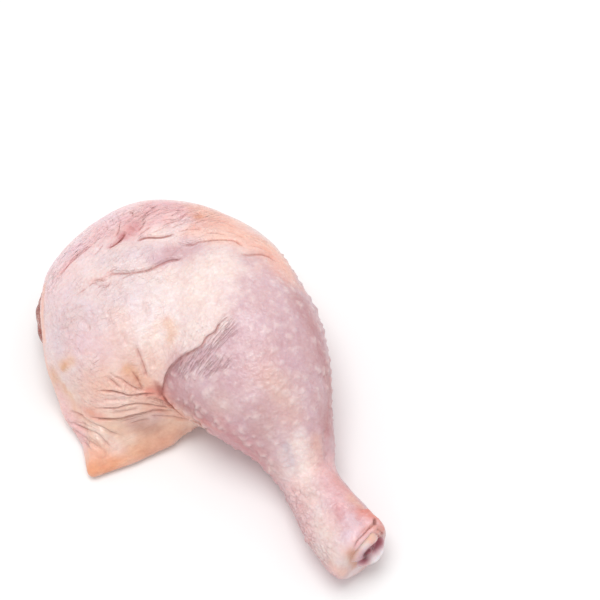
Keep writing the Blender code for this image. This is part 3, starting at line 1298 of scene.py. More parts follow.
@dataclass(frozen=True)
class Goosebumps:
    """The follicles of the skin: small domes over it, close together where it is tight. Millimetres.

    The smallest dome has this share of the largest's size. Domes stray from round over the lumps of a noise
    whose scale is for each metre, and tip is how far their colour draws in to their tops.
    """

    spacing: float = 3.3
    radius: float = 2.9
    height: float = 0.75
    smallest: float = 0.35
    stray: float = 4.5
    stray_scale: float = 420.0
    tip: float = 1.1
    most_in_square_metre: float = 400000.0
    seed: int = 11

    def sockets(self, made: bpy.types.NodeTree) -> None:
        """Gives the tree its inputs and its output."""
        face = made.interface
        face.new_socket("Skin", in_out="INPUT", socket_type="NodeSocketGeometry")
        for name in ("Spacing", "Radius", "Height", "Stray"):
            face.new_socket(name, in_out="INPUT", socket_type="NodeSocketFloat")
        face.new_socket("Seed", in_out="INPUT", socket_type="NodeSocketInt")
        face.new_socket("Finish", in_out="INPUT", socket_type="NodeSocketMaterial")
        face.new_socket("Skin", in_out="OUTPUT", socket_type="NodeSocketGeometry")

    def domes(self, graph: Graph, given: bpy.types.NodeOutputs, cover: Socket) -> Socket:
        """Adds the scattered follicles.

        Args:
            graph: the nodes of the tree.
            given: the tree's inputs.
            cover: how closely the skin is covered.

        Returns:
            How high on its dome each point of the skin is, from 0 to 1.
        """
        spread = {
            "Mesh": given["Skin"],
            "Distance Min": given["Spacing"],
            "Density Max": self.most_in_square_metre,
            "Density Factor": cover,
            "Seed": given["Seed"],
        }
        scattered = graph.add("GeometryNodeDistributePointsOnFaces", spread, distribute_method="POISSON")
        spots = scattered.outputs["Points"]
        span = {2: self.smallest, 3: 1.0, "Seed": given["Seed"]}
        draw = graph.add("FunctionNodeRandomValue", span, data_type="FLOAT").outputs[1]
        nearest = graph.add("GeometryNodeSampleNearest", {"Geometry": spots}, domain="POINT")
        picked = {"Geometry": spots, 1: draw, "Index": nearest.outputs["Index"]}
        share = graph.add("GeometryNodeSampleIndex", picked, data_type="FLOAT", domain="POINT").outputs[0]
        place = graph.add("GeometryNodeInputPosition").outputs[0]
        coarse = {"Vector": place, "Scale": self.stray_scale, "Detail": 1.0}
        wander = graph.add("ShaderNodeTexNoise", coarse).outputs[1]
        middle = {0: wander, 1: (0.5, 0.5, 0.5)}
        centred = graph.add("ShaderNodeVectorMath", middle, operation="SUBTRACT").outputs[0]
        stray = graph.scaled(centred, given["Stray"])
        strayed = graph.add("ShaderNodeVectorMath", {0: place, 1: stray}).outputs[0]
        near = graph.add("GeometryNodeProximity", {0: spots, 2: strayed}, target_element="POINTS")
        reach = graph.math("MULTIPLY", given["Radius"], share)
        return graph.math("MULTIPLY", graph.grade(near.outputs["Distance"], 0.0, reach, 1.0, 0.0), share)

    def tree(self) -> bpy.types.NodeTree:
        """Builds the nodes that scatter the follicles and raise the skin round each.

        Returns:
            The node tree. Its inputs are the skin, the sizes in metres, the seed and the material.
        """
        made = bpy.data.node_groups.new("goosebumps", "GeometryNodeTree")
        self.sockets(made)
        graph = Graph(made)
        given = graph.add("NodeGroupInput").outputs
        cover = self.named(graph, "cover")
        dome = self.domes(graph, given, cover)
        tip = graph.math("POWER", dome, self.tip)
        height = graph.math("MULTIPLY", given["Height"], self.named(graph, "goose"))
        lift = graph.math("MULTIPLY", dome, height)
        offset = graph.scaled(graph.add("GeometryNodeInputNormal").outputs[0], lift)
        marks = {"Geometry": given["Skin"], "Name": "follicle", "Value": graph.math("MULTIPLY", tip, cover)}
        marked = graph.add("GeometryNodeStoreNamedAttribute", marks, data_type="FLOAT", domain="POINT")
        moved = {"Geometry": marked.outputs[0], "Offset": offset}
        raised = graph.add("GeometryNodeSetPosition", moved).outputs[0]
        whole = graph.add("GeometryNodeRealizeInstances", {"Geometry": raised}).outputs[0]
        covered = {"Geometry": whole, "Material": given["Finish"]}
        graph.add("NodeGroupOutput", {"Skin": graph.add("GeometryNodeSetMaterial", covered).outputs[0]})
        return made

    def named(self, graph: Graph, name: str) -> Socket:
        """The number of a named attribute of the skin."""
        return graph.add("GeometryNodeInputNamedAttribute", {"Name": name}, data_type="FLOAT").outputs[0]

    def raise_on(self, item: bpy.types.Object, finish: bpy.types.Material) -> None:
        """Raises the follicles on a piece and leaves it as a plain mesh.

        Args:
            item: the skin.
            finish: the material that it gets.
        """
        grow = item.modifiers.new("goosebumps", "NODES")
        tree = self.tree()
        sizes = {
            "Spacing": self.spacing * MM,
            "Radius": self.radius * MM,
            "Height": self.height * MM,
            "Stray": self.stray * MM,
            "Seed": self.seed,
            "Finish": finish,
        }
        grow.node_group = tree
        for socket in tree.interface.items_tree:
            if socket.in_out == "INPUT" and socket.name in sizes:
                grow[socket.identifier] = sizes[socket.name]
        graph = bpy.context.evaluated_depsgraph_get()
        graph.update()
        grown = bpy.data.meshes.new_from_object(item.evaluated_get(graph))
        old = item.data
        item.modifiers.clear()
        item.data = grown
        bpy.data.meshes.remove(old)
        grown.name = item.name


def painted(surface: Surface, chart: Chart, base: Array, sprays: tuple[Spray, ...]) -> Array:
    """Sprays patches of colour over a base colour, with uneven edges.

    Args:
        surface: the surface that is painted.
        chart: lays the patches' lines.
        base: the colour of each point before.
        sprays: the patches, in the order in which they are laid on.

    Returns:
        The colour of each point.
    """
    colour = base.copy()
    wobble = lumpy(surface.points, Spray.EDGE)
    for spray in sprays:
        reach = chart.reach(surface.points, spray.line, spray.reach * Spray.SEARCHED)
        away = reach.away() / spray.reach * (1.0 + Spray.WOBBLE * wobble[reach.chosen])
        share = (spray.strength * np.exp(-np.maximum(away, 0.0) ** Spray.FALL))[:, None]
        colour[reach.chosen] += share * (spray.tone.light() - colour[reach.chosen])
    return colour


@dataclass(frozen=True)
class Patch:
    """A patch of the skin round a line, with how far it reaches in millimetres and how strong it is."""

    SEARCHED = 2.0

    reach: float
    line: Line
    strength: float = 1.0


# The edge of the thigh's skin, from the web up over the drumstick
LAP = Lap((
    (200, 423), (191, 419), (180, 412), (171, 404), (165, 396), (163, 386), (165, 375.5), (169, 368),
    (175.5, 360), (181, 356), (194.6, 349), (201, 345), (205.5, 337), (214, 331.5), (219.5, 323),
    (232, 314),
))

# Rows of depth, width and line, then the strength of the crease's painted shade and step where they aren't
# 0
FOLDS = tuple(Fold(*row) for row in (
    # The far edge's band: its near border and the creases where it is drawn in
    (0.55, 0.75, ((57, 278), (62, 271), (68, 265), (78, 256), (88, 247.5), (102, 235)), 0.55, 0.25),
    (0.4, 0.6, ((61, 274), (66, 267), (72, 260.5), (86, 247)), 0.5),
    (0.35, 0.6, ((72, 254), (80, 247), (90, 238)), 0.45),
    (0.35, 0.6, ((66, 258), (74, 249), (82, 242)), 0.3),
    (0.9, 0.7, ((107, 248.5), (113, 244.5), (119, 239.5), (123, 235), (125, 230)), 0.95, 0.3),
    (0.5, 0.6, ((121, 218), (119.5, 225), (118, 231), (114, 238)), 0.6),
    (-1.1, 5.0, ((104, 262), (125, 256), (150, 252), (176, 247))),
    (0.5, 0.6, ((139, 221), (145, 214), (152, 208), (156, 204)), 0.6),
    (0.5, 0.6, ((139, 225), (146, 216), (155, 210.5), (161, 208.5)), 0.65),
    (0.4, 0.6, ((137, 231), (142.5, 225.5), (146, 219)), 0.5),
    (0.35, 0.6, ((137, 238), (141, 233), (146, 229), (153, 225)), 0.5),
    (0.35, 0.6, ((150, 232.5), (160, 229), (170, 224.5)), 0.35),
    (0.45, 0.5, ((128.5, 214.5), (131, 211), (132.8, 214.5), (130, 216.5)), 0.8),
    (1.0, 3.0, ((127, 233), (130, 230), (133, 227))),
    (0.35, 0.6, ((92, 256), (99, 250), (104, 243)), 0.4),
    (0.35, 0.6, ((160, 226), (171, 222), (181, 220)), 0.4),
    (0.35, 0.6, ((176, 223), (182, 217), (189, 212)), 0.4),
    (0.35, 0.6, ((178, 232), (190, 229), (203, 229)), 0.4),
    (0.35, 0.6, ((202, 234), (214, 233), (228, 236)), 0.4),
    (0.4, 0.6, ((88, 240), (95, 233), (100, 227)), 0.45),
    (0.25, 0.6, ((104, 219), (106.5, 225), (108, 232)), 0.25),
    (0.25, 0.6, ((110, 215), (112.5, 221), (114, 227)), 0.22),
    (0.25, 0.6, ((116, 212), (118, 217), (118.5, 223)), 0.22),
    (0.35, 0.6, ((97, 231.5), (100, 228), (103, 225)), 0.5),
    (0.35, 0.6, ((160, 221), (170, 218.5), (178, 220)), 0.45),
    (0.35, 0.6, ((170, 229), (177.5, 225), (185, 223)), 0.45),
    (0.3, 0.6, ((150, 210), (157, 206), (163, 203)), 0.25),
    (0.3, 0.6, ((156, 216), (163, 211), (170, 208)), 0.3),
    (0.35, 0.6, ((165, 213), (174, 210), (184, 209)), 0.3),
    (0.35, 0.6, ((214, 219), (226, 222), (236, 228)), 0.3),
    (0.35, 0.6, ((224, 230), (236, 234), (246, 240)), 0.35),
    # Under the band
    (
        0.8, 0.7, ((135, 241), (141, 238), (147, 236.3), (160, 237), (168, 235.5), (177, 233.5)), 0.95, 0.3
    ),
    (
        0.7, 0.75,
        ((171, 238.5), (185, 244), (194, 244), (201, 241), (232, 240), (240, 244), (247.5, 251)),
        0.45, 0.25,
    ),
    (0.7, 0.9, ((239, 253), (248, 254.5), (263, 254), (272, 258), (279, 264)), 0.5, 0.3),
    (0.5, 0.8, ((250, 246), (262, 249), (273, 256)), 0.4),
    # Under the pale bulge of muscle
    (
        0.8, 0.7,
        (
            (104, 276), (111, 273.5), (120, 272.3), (131, 271.8), (147, 269.4), (160, 263.8), (170, 260),
            (180, 258.5), (188, 253),
        ),
        0.6, 0.35,
    ),
    (0.5, 0.6, ((92, 280), (97.6, 279), (101, 279.5), (104.6, 282)), 0.6),
    (0.45, 0.6, ((110, 272), (113, 269.5), (118, 269)), 0.5),
    (0.45, 0.6, ((120, 278), (127, 275), (134, 273)), 0.45),
    (0.4, 0.6, ((88, 287), (92, 283), (99, 284)), 0.5),
    (0.4, 0.6, ((104, 290), (107, 286), (111, 280)), 0.45),
    (0.4, 0.6, ((97, 288), (101, 285), (108, 286)), 0.45),
    (0.35, 0.6, ((75, 296), (81, 291), (86, 288)), 0.35),
    # Short creases on the plateau
    (0.35, 0.8, ((70, 312), (76, 308), (83, 306)), 0.18),
    (0.35, 0.8, ((60, 317), (66, 312), (71, 309)), 0.15),
    (0.35, 0.8, ((88, 309), (92, 313), (94, 318)), 0.12),
    (0.35, 0.8, ((58, 330), (64, 328), (69, 328)), 0.22),
    (0.35, 0.8, ((82, 320), (88, 325), (90, 332)), 0.12),
    (0.35, 0.9, ((120, 330), (124, 338), (127, 347)), 0.1),
    (0.35, 0.9, ((143, 300), (148, 308), (150, 318)), 0.06),
    # Down to the pucker from above
    (0.75, 0.75, ((135, 343), (140.5, 357), (144.5, 368), (148, 380)), 0.45, 0.3),
    (0.6, 1.1, ((146, 340), (151, 356), (155, 372)), 0.08),
    (0.6, 0.75, ((130, 369), (136, 377), (140.5, 385), (144, 392)), 0.55),
    (0.55, 0.7, ((118, 376), (125, 382), (133, 387), (143, 391.5)), 0.5, 0.2),
    (0.4, 0.6, ((104, 376), (111, 380), (117, 386), (124, 389)), 0.3),
    (0.4, 0.6, ((108, 372), (115, 377), (122, 380)), 0.25),
    (0.5, 0.8, ((108, 380), (114, 383), (119, 388)), 0.35),
    # From the pucker out over the web
    (
        0.65, 0.6,
        ((96, 391), (108, 391.3), (120, 393), (129, 395.5), (138, 394.5), (148, 393.5), (160, 394)),
        0.66, 0.25,
    ),
    (
        0.6, 0.6,
        ((93, 408), (106, 408.3), (117, 408), (127, 405), (139, 403.8), (152, 405), (166, 408), (178, 411)),
        0.66, 0.25,
    ),
    (0.4, 0.8, ((100, 400), (115, 400), (130, 399)), 0.25),
    (
        0.85, 0.65,
        (
            (84, 413), (96, 418), (108, 419), (120, 418.6), (131, 415.8), (140, 413.5), (149, 411.3),
            (158, 410), (168, 411), (186, 413),
        ),
        0.72, 0.4,
    ),
    (
        0.6, 0.9,
        ((67, 411), (76, 412.5), (83.7, 416.5), (91, 422.5), (103, 427.5), (113, 433), (130, 438.5)),
        0.42, 0.35,
    ),
    (
        0.55, 0.8,
        ((63, 419), (74, 423), (83, 427.5), (93, 431.5), (101, 437), (108, 444), (116, 451)),
        0.4, 0.3,
    ),
    (0.5, 0.7, ((67, 426), (76, 431), (85, 437.5), (94, 443.5), (104, 452)), 0.4, 0.2),
    (0.4, 0.7, ((80, 441), (88, 446), (98, 453)), 0.35),
    (0.4, 0.6, ((72, 419), (82, 423), (92, 427), (104, 433)), 0.3),
    (0.35, 0.6, ((86, 434), (94, 440), (103, 449), (108, 455)), 0.35),
    (0.35, 0.6, ((76, 435), (84, 442), (94, 449)), 0.3),
    (0.4, 0.6, ((96, 391), (110, 391), (120, 392)), 0.4),
    (0.35, 0.6, ((128, 425), (140, 421), (152, 419)), 0.3),
    (0.35, 0.6, ((150, 416), (160, 416), (172, 418)), 0.4),
    (0.4, 0.6, ((152, 398), (160, 400.5), (168, 405.5), (178, 410)), 0.6),
    (0.35, 0.6, ((148, 401), (158, 403.5), (168, 408)), 0.45),
    (0.35, 0.6, ((118, 423), (132, 419.5), (146, 415)), 0.25),
    (0.2, 0.9, ((124, 447), (136, 446), (150, 442)), 0.1),
    (0.5, 0.8, ((112, 412), (126, 411), (140, 408)), 0.35),
    (0.4, 0.8, ((146, 398), (154, 399), (164, 402)), 0.5),
    (0.4, 0.8, ((168, 416), (178, 419), (192, 421)), 0.45),
    (0.2, 0.8, ((104, 458), (112, 452), (120, 449)), 0.1),
    # Along the lap, and on to where the drumstick lies over the web
    (
        0.5, 0.6,
        (
            (172, 363), (181, 356), (194.6, 349), (201, 345), (205.5, 337), (214, 331.5), (219.5, 323),
            (233, 313),
        ),
        0.65, 0.3,
    ),
    (0.3, 0.5, ((176, 358), (168, 368), (164, 376), (162.5, 386), (164, 396)), 0.75),
    (
        0.45, 0.6,
        ((161, 388), (164, 398), (170, 405.5), (179, 413), (190, 419.5), (200, 423.5), (214, 431)),
        1.0, -0.25,
    ),
    # On the shank and round the hock's end
    (0.5, 1.6, ((328, 424), (325.5, 438), (327, 455), (333, 470)), 0.1),
    (0.5, 1.5, ((300, 486), (308, 483), (318, 481)), 0.08),
    (0.5, 1.4, ((302, 501), (312, 498), (322, 500)), 0.12),
    (-0.6, 2.2, ((300, 493), (310, 490), (320, 490))),
    (0.6, 1.8, ((336, 503), (340, 512), (341, 520)), 0.12),
    (0.4, 0.9, ((297, 506), (303, 505), (308, 507)), 0.15),
    (-1.8, 2.6, ((58.0, -60.5, 24.0), (62.3, -66.5, 23.4), (65.0, -70.0, 19.0))),
    (0.7, 2.4, ((349, 481), (352, 490), (357, 499))),
    (0.7, 0.8, ((372, 521), (373.6, 523.4), (374.6, 526.4)), 0.35),
    (0.7, 0.7, ((375, 523), (371, 528), (364, 535.5), (358, 541.5), (352, 551)), 0.6, 0.25),
    (0.35, 0.6, ((368, 526), (362, 532), (356, 539)), 0.3),
    (0.6, 0.6, ((374.5, 528), (379, 531), (383.5, 535)), 0.45, 0.2),
))

# Rows of what Wrinkles lists, in its order
WRINKLES = tuple(Wrinkles(*row) for row in (
    (0.09, 2.6, 4.6, (10, -8), 30.0, ((62, 335), (100, 320), (150, 320)), 41, 0.05, Weave.NET),
    (0.11, 2.4, 5.0, (10, -7), 24.0, ((70, 300), (100, 330), (140, 345)), 42, 0.14),
    (0.09, 2.6, 8.0, (2, -10), 22.0, ((120, 330), (150, 350), (165, 345)), 43, 0.12),
    (0.25, 1.4, 2.6, (10, -6), 5.0, ((84, 286), (100, 284), (125, 277)), 44, 0.36, Weave.NET),
    (0.26, 1.6, 12.0, (-20, -1), 10.0, ((95, 404), (125, 404), (155, 402)), 45, 0.25),
    (0.28, 1.7, 10.0, (10, 8), 8.0, ((82, 430), (92, 440), (102, 447)), 46, 0.22),
    (0.16, 1.7, 9.0, (20, -8), 10.0, ((130, 440), (150, 436), (175, 425)), 47, 0.15),
    (0.24, 1.4, 8.0, (10, -9), 8.0, ((104, 240), (120, 224), (145, 212)), 48, 0.3),
    (0.20, 1.5, 9.0, (12, -10), 7.0, ((52, 275), (72, 250), (95, 232)), 49, 0.2),
    (0.18, 1.6, 9.0, (12, -3), 8.0, ((150, 224), (180, 222), (210, 226)), 50, 0.2),
    (0.18, 1.6, 10.0, (10, 4), 8.0, ((215, 228), (240, 238), (262, 248)), 53, 0.16),
    (0.22, 2.0, 3.2, (8, 12), 9.0, ((303, 520), (312, 545), (326, 562)), 54, 0.25, Weave.NET),
    (0.16, 2.2, 7.0, (6, 14), 8.0, ((318, 500), (330, 520), (340, 545)), 55, 0.12),
    (0.22, 1.5, 5.0, (14, 3), 6.5, ((286, 474), (298, 496), (308, 520)), 58, 0.24),
    (0.16, 1.6, 4.0, (12, -6), 6.0, ((322, 480), (340, 500), (356, 516)), 59, 0.16),
    (0.14, 2.0, 5.0, (4, 10), 8.0, ((262, 478), (290, 505), (300, 530)), 56, 0.12),
    (0.12, 2.2, 8.0, (10, -4), 12.0, ((200, 268), (230, 262), (262, 272)), 57, 0.1),
))

# Rows of tone, reach in millimetres, strength and line
SKIN_SPRAYS = tuple(Spray(*row) for row in (
    # The plateau of the thigh
    (Tone.LILAC, 15.0, 0.6, ((60, 300), (54, 330))),
    (Tone.LILAC, 9.0, 0.45, ((84, 318), (95, 340), (122, 342))),
    (Tone.IVORY, 14.0, 1.0, ((165, 310), (200, 290), (212, 275))),
    (Tone.MIST, 9.0, 0.4, ((128, 300), (150, 290))),
    (Tone.MIST, 14.0, 0.45, ((96, 312), (122, 318), (132, 340))),
    (Tone.MIST, 4.0, 0.4, ((56, 330), (60, 350))),
    (Tone.BEIGE, 3.0, 0.25, ((66, 322), (80, 312))),
    (Tone.ROSE, 8.0, 0.3, ((82, 345), (100, 350))),
    (Tone.PEACH, 6.0, 0.3, ((120, 318), (130, 350))),
    (Tone.IVORY, 5.0, 0.75, ((148, 335), (155, 352), (156, 372))),
    (Tone.IVORY, 6.0, 0.5, ((180, 340), (205, 322), (220, 308))),
    # The band of thin skin at the far edge
    (Tone.PETAL, 10.0, 1.0, ((46, 282), (60, 260), (84, 236), (111, 214), (150, 203), (185, 200))),
    (Tone.SHELL, 8.0, 0.75, ((44, 286), (58, 262), (82, 238), (104, 220))),
    (Tone.ROSE, 3.0, 0.2, ((60, 270), (72, 256), (90, 242), (104, 232))),
    (Tone.BLUSH, 1.3, 0.35, ((62, 272), (72, 260), (86, 248))),
    (Tone.ROSE, 6.0, 0.65, ((100, 234), (125, 220), (150, 212))),
    (Tone.BLUSH, 3.4, 0.2, ((112, 238), (122, 226), (136, 218), (150, 211))),
    (Tone.ROSE, 7.5, 0.6, ((150, 220), (190, 211), (206, 218))),
    (Tone.ROSE, 4.6, 0.8, ((150, 203), (185, 199), (205, 203))),
    (Tone.BLUSH, 3.6, 0.45, ((166, 203), (190, 202), (204, 206))),
    (Tone.BLUSH, 2.0, 0.35, ((140, 228), (152, 224), (164, 222))),
    (Tone.SALMON, 9.0, 1.0, ((206, 212), (232, 224), (252, 236), (270, 250), (284, 268))),
    (Tone.SALMON, 5.0, 0.6, ((200, 232), (225, 236), (250, 246))),
    (Tone.WINE, 3.4, 0.62, ((126, 234), (130, 230), (133, 226))),
    (Tone.WINE, 1.4, 0.45, ((109, 247), (116, 242), (121, 237))),
    (Tone.APRICOT, 1.5, 0.55, ((197, 217), (201, 216))),
    # Under the band, and the valley under the bulge
    (Tone.LILAC, 4.6, 0.4, ((110, 258), (140, 248), (165, 246))),
    (Tone.MIST, 5.0, 0.55, ((104, 263), (128, 258), (150, 254))),
    # Painted shade in the valley under the bulge
    (Tone.MAUVE, 4.4, 0.95, ((158, 259), (172, 253), (192, 248))),
    (Tone.CORAL, 1.4, 0.3, ((92, 281), (104, 278), (110, 272))),
    # The far side, down to the surface that the leg lies on
    (Tone.PETAL, 15.0, 0.6, ((-58.0, 50.0, 16.0), (-34.0, 68.0, 16.0), (-6.0, 74.0, 16.0))),
    (Tone.ROSE, 9.0, 0.45, ((-52.0, 58.0, 8.0), (-30.0, 70.0, 22.0), (-10.0, 74.0, 10.0))),
    (Tone.SALMON, 10.0, 0.6, ((-4.0, 74.0, 26.0), (14.0, 68.0, 24.0), (32.0, 54.0, 24.0))),
    (Tone.PEACH, 14.0, 0.55, ((-6.0, 74.0, 12.0), (18.0, 64.0, 10.0), (38.0, 42.0, 12.0))),
    (Tone.LILAC, 8.0, 0.5, ((20.0, 66.0, 8.0), (36.0, 46.0, 6.0))),
    (Tone.YELLOW, 3.0, 0.4, ((-18.0, 74.0, 6.0), (-12.0, 75.0, 10.0))),
    # Stains of yellow fat
    (Tone.YELLOW, 2.6, 0.55, ((62, 367), (66, 364), (71, 361))),
    (Tone.OCHRE, 1.3, 0.6, ((63, 369), (65.5, 365))),
    (Tone.YELLOW, 3.4, 0.45, ((54, 374), (60, 384), (64, 390))),
    (Tone.OCHRE, 1.2, 0.6, ((53, 375), (54, 380))),
    (Tone.OCHRE, 1.5, 0.55, ((64, 386), (66, 392))),
    (Tone.YELLOW, 1.8, 0.55, ((70, 394), (73, 401), (75, 407))),
    (Tone.YELLOW, 2.6, 0.45, ((167, 322), (172, 330), (170, 338))),
    (Tone.PEACH, 9.0, 0.55, ((100, 385), (130, 372), (150, 365))),
    (Tone.PEACH, 5.0, 0.5, ((52, 372), (60, 392))),
    (Tone.OCHRE, 2.6, 0.65, ((129, 370), (134, 375), (139, 382))),
    (Tone.RUST, 1.1, 0.4, ((134, 376), (138, 381), (141, 387))),
    (Tone.APRICOT, 3.4, 0.2, ((126, 376), (134, 384), (144, 388))),
    # The pucker and the web
    (Tone.PEACH, 15.0, 0.85, ((84, 422), (120, 425), (160, 425))),
    (Tone.SALMON, 9.0, 0.5, ((96, 400), (124, 402), (150, 402))),
    (Tone.IVORY, 12.0, 0.42, ((104, 424), (130, 428), (166, 424))),
    (Tone.YELLOW, 6.0, 0.3, ((112, 426), (124, 438), (134, 446))),
    (Tone.IVORY, 3.6, 0.35, ((116, 432), (124, 442))),
    (Tone.YELLOW, 13.0, 0.55, ((112, 454), (140, 442), (176, 426))),
    (Tone.IVORY, 3.4, 0.4, ((122, 444), (132, 438))),
    (Tone.APRICOT, 8.0, 0.28, ((108, 466), (126, 460), (146, 454), (168, 442))),
    (Tone.TAN, 3.4, 0.4, ((146, 455), (158, 448), (170, 439), (186, 430))),
    (Tone.APRICOT, 6.5, 0.6, ((90, 472), (100, 466), (110, 466))),
    (Tone.APRICOT, 4.0, 0.85, ((92, 468), (98, 461), (108, 462))),
    (Tone.SALMON, 4.5, 0.5, ((94, 456), (110, 450))),
    (Tone.ROSE, 5.0, 0.6, ((62, 400), (66, 412), (76, 428), (84, 440))),
    (Tone.IVORY, 3.4, 0.5, ((96, 430), (112, 442), (116, 448))),
    (Tone.IVORY, 3.0, 0.4, ((112, 398), (124, 400))),
    (Tone.MAUVE, 3.6, 0.4, ((134, 422), (144, 422), (156, 418))),
    (Tone.UMBER, 3.4, 0.5, ((140, 427), (148, 430), (156, 428))),
    (Tone.CORAL, 3.2, 0.55, ((160, 408), (172, 412), (184, 416))),
    (Tone.PEACH, 4.0, 0.9, ((146, 384), (154, 390), (160, 400), (172, 410))),
    (Tone.CORAL, 2.2, 0.85, ((148, 392), (157, 391), (162, 397), (172, 404))),
    (Tone.CORAL, 2.8, 0.5, ((85, 410), (91, 414), (99, 417))),
    (Tone.RUST, 1.2, 0.3, ((87, 411), (93, 415))),
    # The drumstick. Its dusky patches by the lap and along its edges, the wine along its lower edge and the
    # coral where it meets the web are partly its own darker skin and partly painted shade
    (Tone.MAUVE, 5.5, 0.8, ((182, 372), (186, 394), (204, 408), (230, 422))),
    (Tone.DUSKY, 2.6, 0.8, ((170, 380), (175, 396), (187, 406), (204, 417))),
    (Tone.DUSKY, 5.0, 0.55, ((178, 368), (182, 390), (200, 404))),
    (Tone.DUSKY, 4.5, 0.6, ((205, 416), (225, 428), (250, 448), (275, 470))),
    (Tone.WINE, 2.4, 0.45, ((204, 420), (225, 433), (248, 451), (268, 470))),
    (Tone.CORAL, 2.0, 0.35, ((198, 419), (208, 424), (218, 430))),
    (Tone.BEIGE, 5.0, 0.4, ((212, 396), (226, 404))),
    (Tone.BEIGE, 6.0, 0.4, ((274, 384), (292, 400))),
    (Tone.BEIGE, 5.0, 0.35, ((262, 420), (272, 434))),
    (Tone.LILAC, 4.0, 0.4, ((238, 402), (250, 394))),
    (Tone.LILAC, 4.0, 0.35, ((300, 394), (306, 412))),
    (Tone.LILAC, 5.0, 0.35, ((246, 318), (262, 330))),
    (Tone.LILAC, 9.0, 0.35, ((262, 284), (276, 300))),
    (Tone.BLUSH, 3.2, 0.35, ((222, 420), (240, 432), (258, 450))),
    (Tone.BLUSH, 2.6, 0.4, ((326, 372), (330, 400), (331, 425))),
    (Tone.DUSKY, 5.5, 0.78, ((300, 300), (318, 340), (326, 370), (330, 400), (328, 425))),
    (Tone.LILAC, 7.0, 0.4, ((185, 375), (200, 380))),
    (Tone.LILAC, 5.0, 0.35, ((285, 425), (280, 440))),
    (Tone.PEACH, 6.0, 0.3, ((268, 372), (282, 400), (292, 420))),
    (Tone.DUSKY, 6.0, 0.3, ((255, 415), (262, 440))),
    # A painted highlight on the lower drumstick
    (Tone.IVORY, 4.8, 1.0, ((298, 442), (303, 456), (307, 466))),
    (Tone.PEACH, 3.6, 0.5, ((316, 440), (318, 455), (318, 468))),
    (Tone.SLATE, 1.8, 0.55, ((286, 446), (294, 472))),
    # The shank and the hock
    (Tone.IVORY, 9.0, 0.8, ((296, 482), (305, 500), (314, 525), (328, 550))),
    (Tone.ROSE, 5.0, 0.5, ((290, 490), (300, 512), (310, 535))),
    (Tone.ROSE, 6.0, 0.75, ((328, 472), (340, 496), (352, 516))),
    (Tone.CORAL, 3.6, 0.5, ((338, 480), (348, 492), (360, 504))),
    (Tone.WINE, 2.0, 0.3, ((338, 508), (341, 518))),
    (Tone.PEACH, 3.0, 0.6, ((352, 500), (362, 508))),
    (Tone.CORAL, 2.8, 0.9, ((362, 512), (372, 516), (380, 521), (381, 529))),
    (Tone.LILAC, 3.6, 0.7, ((350, 520), (355, 527), (350, 536))),
    (Tone.ROSE, 1.8, 0.7, ((368, 522), (362, 530), (356, 538))),
    (Tone.TAN, 1.6, 0.6, ((372, 527), (367, 534))),
    (Tone.SALMON, 2.4, 0.3, ((344, 550), (350, 548), (356, 542))),
    (Tone.IVORY, 4.0, 0.4, ((322, 556), (332, 563), (340, 562))),
    (Tone.ASH, 3.2, 0.8, ((354, 570), (358, 566), (364, 562))),
    (Tone.CORAL, 1.4, 0.6, ((364, 533), (370, 529), (376, 530))),
    (Tone.ROSE, 1.7, 0.8, ((355, 546), (363, 539), (371, 532))),
    (Tone.SALMON, 2.8, 0.65, ((336, 570), (343, 573))),
    (Tone.PEARL, 2.0, 0.6, ((348, 577), (354, 572), (361, 566))),
    (Tone.ROSE, 2.6, 0.5, ((318, 560), (328, 568))),
    (Tone.TAN, 2.0, 0.9, ((351.5, 553), (352.5, 558), (355, 564))),
    (Tone.CORAL, 2.2, 0.8, ((370, 518.5), (376, 521), (381, 525), (382, 531))),
    (Tone.RUST, 1.2, 0.35, ((373, 516), (378, 520))),
    # The cut edge of the skin at the hip
    (Tone.SALMON, 1.7, 0.9, ((44, 287), (42.5, 300), (42, 318), (43.5, 340))),
    # The pocket of the pucker, darkened by painted shade, which lies over all else
    (Tone.BRICK, 1.3, 0.5, ((157, 383), (158.5, 388), (160.5, 393))),
    (Tone.GARNET, 0.8, 0.5, ((158.5, 386), (160, 390), (161, 393))),
))
